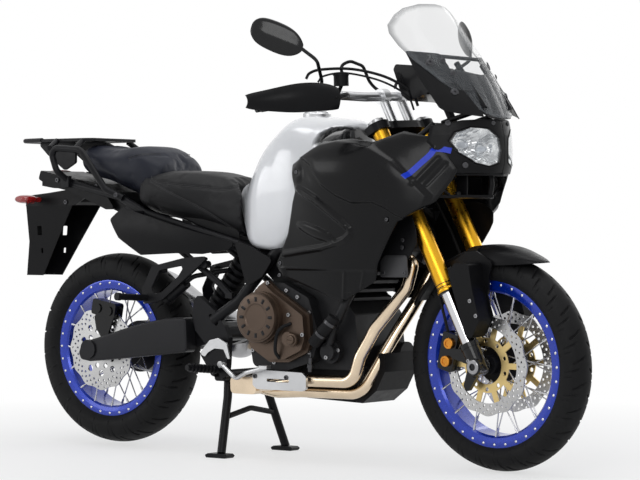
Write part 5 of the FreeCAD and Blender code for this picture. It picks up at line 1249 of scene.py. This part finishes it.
def build_seats():
    swell, cell = sizes().seat_swell / MM, sizes().seat_cell / MM
    threads = []
    for name, node, made, seams in SEATS:
        piece = swollen(name, node, swell * SHRINK, cell, swell)
        sewn = [(line, side) for line in seams for _, side in SIDES]
        for line, side in sewn:
            pressed(piece.data, line, side, sizes().seam_depth / MM)
        piece.data.materials.append(finish(made))
        piece.data.polygons.foreach_set("use_smooth", np.ones(len(piece.data.polygons), bool))
        carried(piece, "chassis", [node])
        for line, side in sewn:
            path = seam_on(name, line, side)
            if len(path) > 3:
                threads.append(sweep(path, 0.9, 6))
                for up in (-4.5, 4.5):
                    threads += stitches(path, 8.0, 5.0, 0.8, (0, side * 0.6, up))
        rounder = piece.modifiers.new("rounder", "SUBSURF")
        rounder.levels = rounder.render_levels = 1
    # Black sheets on both sides as painted shade in the gaps under the seat and the tank.
    for name, side in SIDES:
        wall = shell(SEAT_GAP_SHADE, np.array([-300.0, 768.0]), flat_place(side, 112.0), 3.0, 8, 90, 8,
                     1.0)
        cover = shell(TANK_FOOT_SHADE, np.array([30.0, 640.0]), flat_place(side, 128.0), 3.0, 8, 90, 8,
                      1.0)
        make_piece("seat_base_" + name, [wall, cover], "satin_black", "chassis")
    make_piece("seat_stitching", threads, "seam_thread", "chassis")


# Engine, exhaust and lower parts

COVER_BOLTS = [(44, 565), (106, 542), (150, 522), (197, 474), (197, 350), (143, 467)]
CASE_BOLTS = [(197, 406), (241, 426), (294, 358), (261, 336), (-30, 350), (-42, 400), (56, 314)]
CLUTCH_CAP = (41, 458)
# How far the black bars of painted pocket shade stand out from the cap.
POCKET_LIFT = 3.08


def build_engine():
    bolts, caps, pocket_shade = [], [], []
    skins = ["engine_covers", "engine"]
    for side in (-1, 1):
        way = (0, side, 0)
        bolts += bolts_at(from_side(skins, side, COVER_BOLTS), 7.2, 6.0, way)
        bolts += bolts_at(from_side(skins, side, CASE_BOLTS), 7.0, 5.0, way)
        for mid, _ in from_side(skins, side, [CLUTCH_CAP]):
            ring = [(POLE, 2.5), (40, 2.5), (44, 5.5), (68, 5.5), (73, 3.5), (75, -4), (POLE, -4)]
            caps.append(revolve(ring, mid, way, 72))
            # Twelve black bars round the cap: painted shade in its pocket hollows.
            for a in np.arange(12) * TURN / 12:
                ray = np.array([math.cos(a), 0, math.sin(a)])
                base = mid + (0, side * POCKET_LIFT, 0)
                pocket_shade.append(sweep([base + ray * 50, base + ray * 64], 5.6, 10))
        for place, _ in from_side(skins, side, [(167, 390)]):
            knob = [(POLE, 13), (12, 13), (14, 11), (15, 4), (19, 3), (20, -3), (POLE, -3)]
            caps.append(revolve(knob, place, way, 36))
            caps.append(rounded_box(place + (-11, side * 12 - 2.5, -2.5),
                                    place + (11, side * 12 + 2.5, 2.5)))
    make_piece("engine_cover_caps", caps, "bronze_casting", "chassis", sharp=35)
    # The black bars are painted shade in the pocket hollows of the clutch cap.
    make_piece("clutch_cap_pockets", pocket_shade, "casting_black", "chassis")
    make_piece("engine_bolts", bolts, "bright_screw", "chassis")
    elbow = bent_path([(305, -186, 462), (290, -190, 440), (262, -192, 414), (226, -186, 380)], 30)
    hose = smooth_path([(150, -205, 440), (131, -226, 428), (111, -227, 405), (101, -222, 354),
                        (104, -205, 330)], 8)
    clamps = [revolve([(19, -5), (22.5, -5), (22.5, 5), (19, 5), (19, -5)], elbow[k],
                      elbow[k + 1] - elbow[k], 32)
              for k in (1, -3)]
    make_piece("coolant_elbow", [sweep(elbow, 20.0, 24), sweep(hose, 5.5, 12)], "grip_rubber",
               "chassis",
               sharp=50)
    probe = [(POLE, 0), (7, 0), (7, 12), (10, 12), (10, 24), (6.5, 24), (6.5, 44), (3, 46),
             (3, 62),
             (POLE, 62)]
    sensor = revolve(probe, (203, -176, 290), (0.12, -0.1, 1), 24)
    make_piece("coolant_clamps", clamps + [sensor], "dark_steel", "chassis")
    guard = bolts_at(from_side(["exhaust_guard"], -1, [(-7, 269), (118, 269)]), 7.5, 4.0)
    if guard:
        make_piece("guard_bolts", guard, "dark_steel", "chassis")
    corners = from_view(["skid_plate"], [(369.1, 365.4), (394.3, 365.4), (394.3, 378.0),
                                         (369.1, 378.7)])
    if len(corners) == 4:
        ring = [place for place, _ in corners]
        loop = bent_path(ring + [ring[0]], 6)
        vent = [sweep(loop, 3.0, 8)]
        vent += [sweep([ring[0] + (ring[1] - ring[0]) * k / 6,
                        ring[3] + (ring[2] - ring[3]) * k / 6], 2.0, 8)
                 for k in range(1, 6)]
        make_piece("skid_plate_vent", vent + [mirrored(part) for part in vent], "bracket_grey",
                   "chassis")


# Wheels: hubs, spokes, nipples and brake details


SPOKE_LEAN = 34


def spoked(axle, spin, r_flange, half_flange, r_rim, rim_half, count):
    """Crossed spokes: from the hub at angle t + or - 34 degrees to the rim at angle t."""
    axis, a, b = frame_of(spin)
    lean = math.radians(SPOKE_LEAN)
    out = []
    for i in range(count):
        side = 1 if i % 2 else -1
        at_rim = TURN * i / count
        at_hub = at_rim + lean * (1 if (i // 2) % 2 else -1)
        hub_ray = a * math.cos(at_hub) + b * math.sin(at_hub)
        rim_ray = a * math.cos(at_rim) + b * math.sin(at_rim)
        p = axle + hub_ray * (r_flange - 5) + axis * side * (half_flange + 1)
        q = axle + rim_ray * (r_rim + 3) + axis * side * rim_half
        d = (q - p) / np.linalg.norm(q - p)
        out += [sweep([p, q], 2.2, 8), sweep([q - d * 16, q], 3.8, 8),
                sweep([p - d * 3, p + d * 5], 4.0, 8)]
    return out


def hub_body(axle, spin, r_body, half_flange, r_flange, bore, out):
    """Spool with two flanges, turned about the axle."""
    half = [(bore, -out), (bore + 14, -out), (bore + 16, -half_flange - 4),
            (r_flange - 4, -half_flange - 4), (r_flange, -half_flange),
            (r_flange, -half_flange + 6), (r_body, -half_flange + 16)]
    line = half + [(r, -h) for r, h in reversed(half)] + half[:1]
    return revolve(line, axle, spin, 72)


def nipple_dots(rim, axle, spin, radius, count):
    """Domed spoke ends on both faces of the rim."""
    axis, a, b = frame_of(spin)
    dots = []
    for t in TURN * np.arange(count) / count:
        ray = a * math.cos(t) + b * math.sin(t)
        for side in (-1, 1):
            hit = meet([rim], axle + ray * radius + axis * side * 200, -axis * side)
            if hit is not None:
                dome = [(POLE, 3.2), (3.0, 2.6), (4.6, 0.8), (4.6, -1.5), (POLE, -1.5)]
                dots.append(revolve(dome, hit[0], axis * side, 10))
    return dots


AXLE_AHEAD = turned(FRONT_AXLE, -STEER_AT_REST)
LEG_Y = 105.0


def leg_point(side, s):
    """Point s up one fork leg from the axle, bars straight."""
    return AXLE_AHEAD + STEER_AXIS * s + np.array([0, side * LEG_Y, 0])


def turned_parts(parts):
    return [(turned(co), faces) for co, faces in parts]


# Hub: body radius, half flange, flange radius, bore, reach; rim radius and half; nipples
HUBS = {"front": ((34, 30, 56, 13.0, 60), (218, 31), (244, 36)),
        "rear": ((44, 40, 66, 16.0, 70), (196, 48), (221, 32))}
SPOKES = 32


def build_hubs():
    for end, axle, spin in WHEELS:
        hub, rim, nipples = HUBS[end]
        body = end + "_wheel"
        make_piece(end + "_hub_spool", [hub_body(axle, spin, *hub)], "frame_black", body,
                   [end + "_hub"])
        make_piece(end + "_spokes", spoked(axle, spin, hub[2], hub[1], *rim, SPOKES),
                   "spoke_steel", body, sharp=40)
        make_piece(end + "_nipples", nipple_dots(end + "_rim", axle, spin, *nipples),
                   "spoke_steel", body, sharp=40)


def build_fork():
    rings, collars, pistons, bright = [], [], [], []
    for side in (-1, 1):
        for s in (264.0, 274.0):
            rings.append(revolve([(26, -1.3), (27.5, -1.3), (27.5, 1.3), (26, 1.3), (26, -1.3)],
                                 leg_point(side, s), STEER_AXIS, 48))
        flare = [(26, 0), (29.5, 0), (30.5, 3), (29.5, 9), (27.4, 12), (26, 12), (26, 0)]
        collars.append(revolve(flare, leg_point(side, 249.0), STEER_AXIS, 48))
        rings.append(revolve([(21, -5), (25.5, -5), (26.5, 0), (21, 0), (21, -5)],
                             leg_point(side, 249.0),
                             STEER_AXIS, 48))
        for x, z in ((674.4, 392.5), (659.4, 337.9)):
            cup = [(POLE, 3.0), (9, 3.0), (10, 5.2), (15.5, 5.2), (17, 3.5), (17, -4), (POLE, -4)]
            pistons.append(revolve(cup, (x, side * 93.0, z), (0, side, 0), 36))
        ring = [(11, 3), (11, 6), (20, 6), (22, 4), (22, -3), (11, -3), (11, 3)]
        bright.append(revolve(ring, AXLE_AHEAD + (0, side * 130.0, 0), (0, side, 0), 40))
        bright.append(bolt(leg_point(side, 20.0) + (-8, side * 27.0, 0), (0, side, 0), 6, 4))
    make_piece("fork_seal_rings", turned_parts(rings), "gloss_black", "steering")
    make_piece("fork_collars", turned_parts(collars), "gold_anodised", "steering")
    make_piece("caliper_pistons", turned_parts(pistons), "piston_gold", "steering")
    seen = bolts_at(from_view(["front_fender"], [(470, 301), (476, 316)]), 6.5, 4.0)
    make_piece("axle_rings", turned_parts(bright) + seen, "bright_screw", "steering")


def build_cables():
    arc = view_points([(306, 79, -330), (310, 73, -322), (322, 69.5, -290), (351, 69, -215),
                       (380, 75, -150), (400, 84, -105), (413, 94, -80), (418, 106, -70)])
    second = view_points([(318, 82, -318), (324, 76, -300), (345, 73, -240), (375, 79, -170),
                          (396, 88, -125), (409, 98, -98), (414, 110, -90)])
    make_piece("control_cables",
               [sweep(smooth_path(arc, 8), 4.4, 12), sweep(smooth_path(second, 8), 3.2, 12)],
               "grip_rubber", "steering", sharp=60)


REAR_SKINS = ["rack", "tail_unit", "side_covers", "subframe"]
REAR_BOLTS = [(-640, 915), (-760, 880), (-560, 840), (-480, 800)]


def build_rear():
    seen = from_view(REAR_SKINS, [(57.6, 180), (116, 195), (67, 170), (66, 202)])
    black = bolts_at(seen, 8.0, 5.0)
    for _, side in SIDES:
        black += bolts_at(from_side(REAR_SKINS, side, REAR_BOLTS), 6.0, 3.5)
    make_piece("rear_bolts", black, "dark_steel", "chassis")


BRACKET = [(464, 640), (480, 656), (562, 656), (567, 589), (462, 588)]
BRACKET_BOLTS = [(548, 702), (546, 680), (476, 602), (554, 602)]


def build_bracket():
    """Grey lamp-loom bracket on each inner panel, with its bolts."""
    for name, side in SIDES:
        web = shell(BRACKET, np.array([515.0, 622.0]), flat_place(side, 162.5), 3.5, 8, 90, 10,
                    1.0)
        make_piece("inner_bracket_" + name, [web], "bracket_grey", "chassis")
        heads = [bolt((x, side * 162.0, z), (0, side, 0), 6.5, 4) for x, z in BRACKET_BOLTS]
        make_piece("inner_bracket_bolts_" + name, heads, "dark_steel", "chassis")


# Stage


def combined(nodes, links, operation, first, second):
    """What a math node makes of two sockets."""
    n = nodes.new("ShaderNodeMath")
    n.operation = operation
    links.new(first, n.inputs[0])
    links.new(second, n.inputs[1])
    return n.outputs["Value"]


def seen_rays(nodes, links):
    """1 for camera rays, reflections and rays through glass, so that all see the white."""
    ray = nodes.new("ShaderNodeLightPath")
    value = ray.outputs["Is Camera Ray"]
    for kind in ("Is Glossy Ray", "Is Transmission Ray"):
        value = combined(nodes, links, "MAXIMUM", value, ray.outputs[kind])
    return value


def glow(nodes, kind, colour, strength):
    """A background or emission of one colour."""
    n = nodes.new("ShaderNode" + kind)
    n.inputs["Color"].default_value = (*colour, 1)
    n.inputs["Strength"].default_value = strength
    return n.outputs[kind]


def mixed(nodes, links, value, first, second, out):
    """Two shaders mixed by a value into an output node."""
    mix = nodes.new("ShaderNodeMixShader")
    links.new(value, mix.inputs["Fac"])
    links.new(first, mix.inputs[1])
    links.new(second, mix.inputs[2])
    links.new(mix.outputs["Shader"], out.inputs["Surface"])


def aimed(name, data, place, look):
    """A camera or lamp at a place, turned to look along a direction."""
    made = bpy.data.objects.new(name, data)
    made.location = place
    made.rotation_mode = "QUATERNION"
    made.rotation_quaternion = Vector(look).to_track_quat("-Z", "Y")
    bpy.context.scene.collection.objects.link(made)
    return made


FLOOR_HALF = 40.0
SKY, SKY_STRENGTH = (0.92, 0.95, 1.0), 0.26
WHITE = (1, 1, 1)

# Lamps: name, place, aim, length and width in metres, power in watts
LAMPS = [("overhead", (0.2, -0.3, 3.6), (0.0, 0.0, 0.4), (3.2, 1.6), 46),
         ("key", (2.6, -4.2, 2.4), (0.2, 0, 0.6), (2.4, 1.8), 52),
         ("fill", (-3.6, -3.4, 1.7), (-0.3, 0, 0.6), (2.0, 1.6), 26),
         ("far_side", (0.5, 4.2, 2.4), (0, 0, 0.7), (3.0, 1.6), 34)]


def build_stage():
    scene = bpy.context.scene
    scene.view_settings.view_transform = "Standard"
    data = bpy.data.cameras.new("camera")
    data.lens, data.sensor_width, data.clip_end = CAMERA_LENS, SENSOR, 100
    scene.camera = aimed("camera", data, CAMERA_AT, CAMERA_LOOK)
    s = FLOOR_HALF
    floor = bpy.data.meshes.new("floor")
    floor.from_pydata([(-s, -s, 0), (s, -s, 0), (s, s, 0), (-s, s, 0)], [], [(0, 1, 2, 3)])
    ground = bpy.data.objects.new("floor", floor)
    scene.collection.objects.link(ground)
    floor.materials.append(floor_finish())
    world = scene.world = bpy.data.worlds.new("studio")
    world.use_nodes = True
    nodes, links = world.node_tree.nodes, world.node_tree.links
    nodes.clear()
    mixed(nodes, links, seen_rays(nodes, links), glow(nodes, "Background", SKY, SKY_STRENGTH),
          glow(nodes, "Background", WHITE, 1.0), nodes.new("ShaderNodeOutputWorld"))
    for name, place, aim, size, power in LAMPS:
        light = bpy.data.lights.new(name, "AREA")
        light.shape = "RECTANGLE"
        light.size, light.size_y = size
        light.energy = power
        aimed(name, light, place, Vector(aim) - Vector(place))


def floor_finish():
    """Pale floor that fades to plain white away from the machine and keeps its shadow near it."""
    shade = Shade("pale_floor")
    nodes, links = shade.nodes, shade.links
    away = nodes.new("ShaderNodeVectorMath")
    away.operation = "LENGTH"
    links.new(shade.place, away.inputs[0])
    far = shade.spread(away.outputs["Value"], 1.0, 2.8, 0.62, 1)
    shade.put(Base_Color=(0.93, 0.935, 0.94, 1), Roughness=0.55, Specular_IOR_Level=0.15)
    both = combined(nodes, links, "MULTIPLY", far, seen_rays(nodes, links))
    mixed(nodes, links, both, shade.shader.outputs["BSDF"], glow(nodes, "Emission", WHITE, 1.0),
          nodes["Material Output"])
    return shade.material


# Add-on: settings, operators and panel


def colours():
    return bpy.context.scene.motorcycle_colours


def sizes():
    return bpy.context.scene.motorcycle_sizes


def colour(name, description, default):
    return bpy.props.FloatVectorProperty(name=name, description=description, default=default,
                                         size=3,
                                         min=0.0, max=1.0, subtype="COLOR")


def length(name, description, default, low, high):
    return bpy.props.FloatProperty(name=name, description=description, default=default, min=low,
                                   max=high,
                                   unit="LENGTH", precision=4)


class MotorcycleColours(bpy.types.PropertyGroup):
    """Colours of the paints, plastics and metals."""
    tank_white: colour("Tank white", "White paint of the tank", (0.80, 0.81, 0.83))
    blue_stripe: colour("Fairing stripe", "Blue band on the side fairings", (0.0, 0.035, 0.60))
    rim_blue: colour("Rim blue", "Anodised blue of both rims", (0.0, 0.03, 0.42))
    fork_gold: colour("Fork gold", "Anodised gold of the fork outer tubes", (0.70, 0.37, 0.025))
    fairing: colour("Fairing black", "Side fairings and nose", (0.0045, 0.0045, 0.0052))
    plastic: colour("Satin black", "Unpainted plastic parts", (0.0062, 0.0062, 0.007))
    rider_seat: colour("Rider seat", "Cover of the rider seat", (0.016, 0.016, 0.017))
    passenger_seat: colour("Passenger seat", "Cover of the passenger seat", (0.013, 0.015, 0.024))
    cover_bronze: colour("Engine covers", "Bronze paint of the engine covers",
                         (0.085, 0.058, 0.042))


class MotorcycleSizes(bpy.types.PropertyGroup):
    """Lengths of the surface detail."""
    front_groove: length("Front tyre groove", "Depth of the front tread", 0.0055, 0.001, 0.009)
    rear_groove: length("Rear tyre groove", "Depth of the rear tread", 0.0060, 0.001, 0.010)
    stripe_half: length("Stripe half width", "Half the width of the blue band", 0.0085, 0.002,
                        0.02)
    seat_swell: length("Seat swell", "Most that a point of the cushions moves", 0.008, 0.0, 0.016)
    seat_cell: length("Seat cell", "Cell size of the remeshed cushions", 0.006, 0.004, 0.012)
    seam_depth: length("Seam depth", "How far the sewn seams pull in", 0.0028, 0.0, 0.006)


OPERATORS = []


def operator(name, label, text, build):
    """An operator that runs one building function."""
    def execute(self, context):
        build()
        return {"FINISHED"}
    made = type("MOTORCYCLE_OT_" + name, (bpy.types.Operator,), {
        "__doc__": text, "bl_idname": "motorcycle." + name, "bl_label": label,
        "bl_options": {"REGISTER", "UNDO"}, "execute": execute})
    OPERATORS.append(made)


operator("stage", "Stage", "Camera, pale floor, world and lamps", build_stage)
operator("finishes", "Finishes", "Finish of every packed piece that stays", dress_nodes)
operator("tyres", "Tyres", "Tyres with cut tread", build_wheels)
operator("hubs", "Hubs and spokes", "Hubs, crossed spokes and nipples of both wheels", build_hubs)
operator("fork", "Fork and brakes", "Seal rings, collars, caliper pistons and axle rings",
         build_fork)
operator("cables", "Cables", "Cables from the right grip to the head", build_cables)
operator("tank", "Tank", "White tank with its filler cap", build_tank)
operator("fairings", "Side fairings", "Moulded side fairings with stripe and screws",
         build_fairings)
operator("brackets", "Inner brackets", "Brackets on the inner panels", build_bracket)
operator("nose", "Nose", "Nose shell, headlights and beak", build_nose)
operator("screen", "Screen", "Clear screen and its bolts", build_screen)
operator("engine", "Engine details", "Cover caps, bolts, hoses, probe and vent", build_engine)
operator("seats", "Seats", "Both cushions with seams and stitches", build_seats)
operator("rear", "Rear details", "Bolts of the rack, tail and covers", build_rear)


class MOTORCYCLE_PT_panel(bpy.types.Panel):
    """Settings and building steps of the motorcycle"""
    bl_label = "Motorcycle"
    bl_idname = "MOTORCYCLE_PT_panel"
    bl_space_type = "VIEW_3D"
    bl_region_type = "UI"
    bl_category = "Motorcycle"

    def draw(self, context):
        for group in (context.scene.motorcycle_colours, context.scene.motorcycle_sizes):
            box = self.layout.box()
            for key in group.bl_rna.properties.keys():
                if key not in {"rna_type", "name"}:
                    box.prop(group, key)
        for made in OPERATORS:
            self.layout.operator(made.bl_idname)


CLASSES = [MotorcycleColours, MotorcycleSizes, *OPERATORS, MOTORCYCLE_PT_panel]


def register():
    for made in CLASSES:
        bpy.utils.register_class(made)
    bpy.types.Scene.motorcycle_colours = bpy.props.PointerProperty(type=MotorcycleColours)
    bpy.types.Scene.motorcycle_sizes = bpy.props.PointerProperty(type=MotorcycleSizes)


def unregister():
    del bpy.types.Scene.motorcycle_sizes
    del bpy.types.Scene.motorcycle_colours
    for made in reversed(CLASSES):
        bpy.utils.unregister_class(made)


def main():
    register()
    for made in OPERATORS:
        getattr(bpy.ops.motorcycle, made.bl_idname.split(".")[1])()


if __name__ == "__main__":
    main()
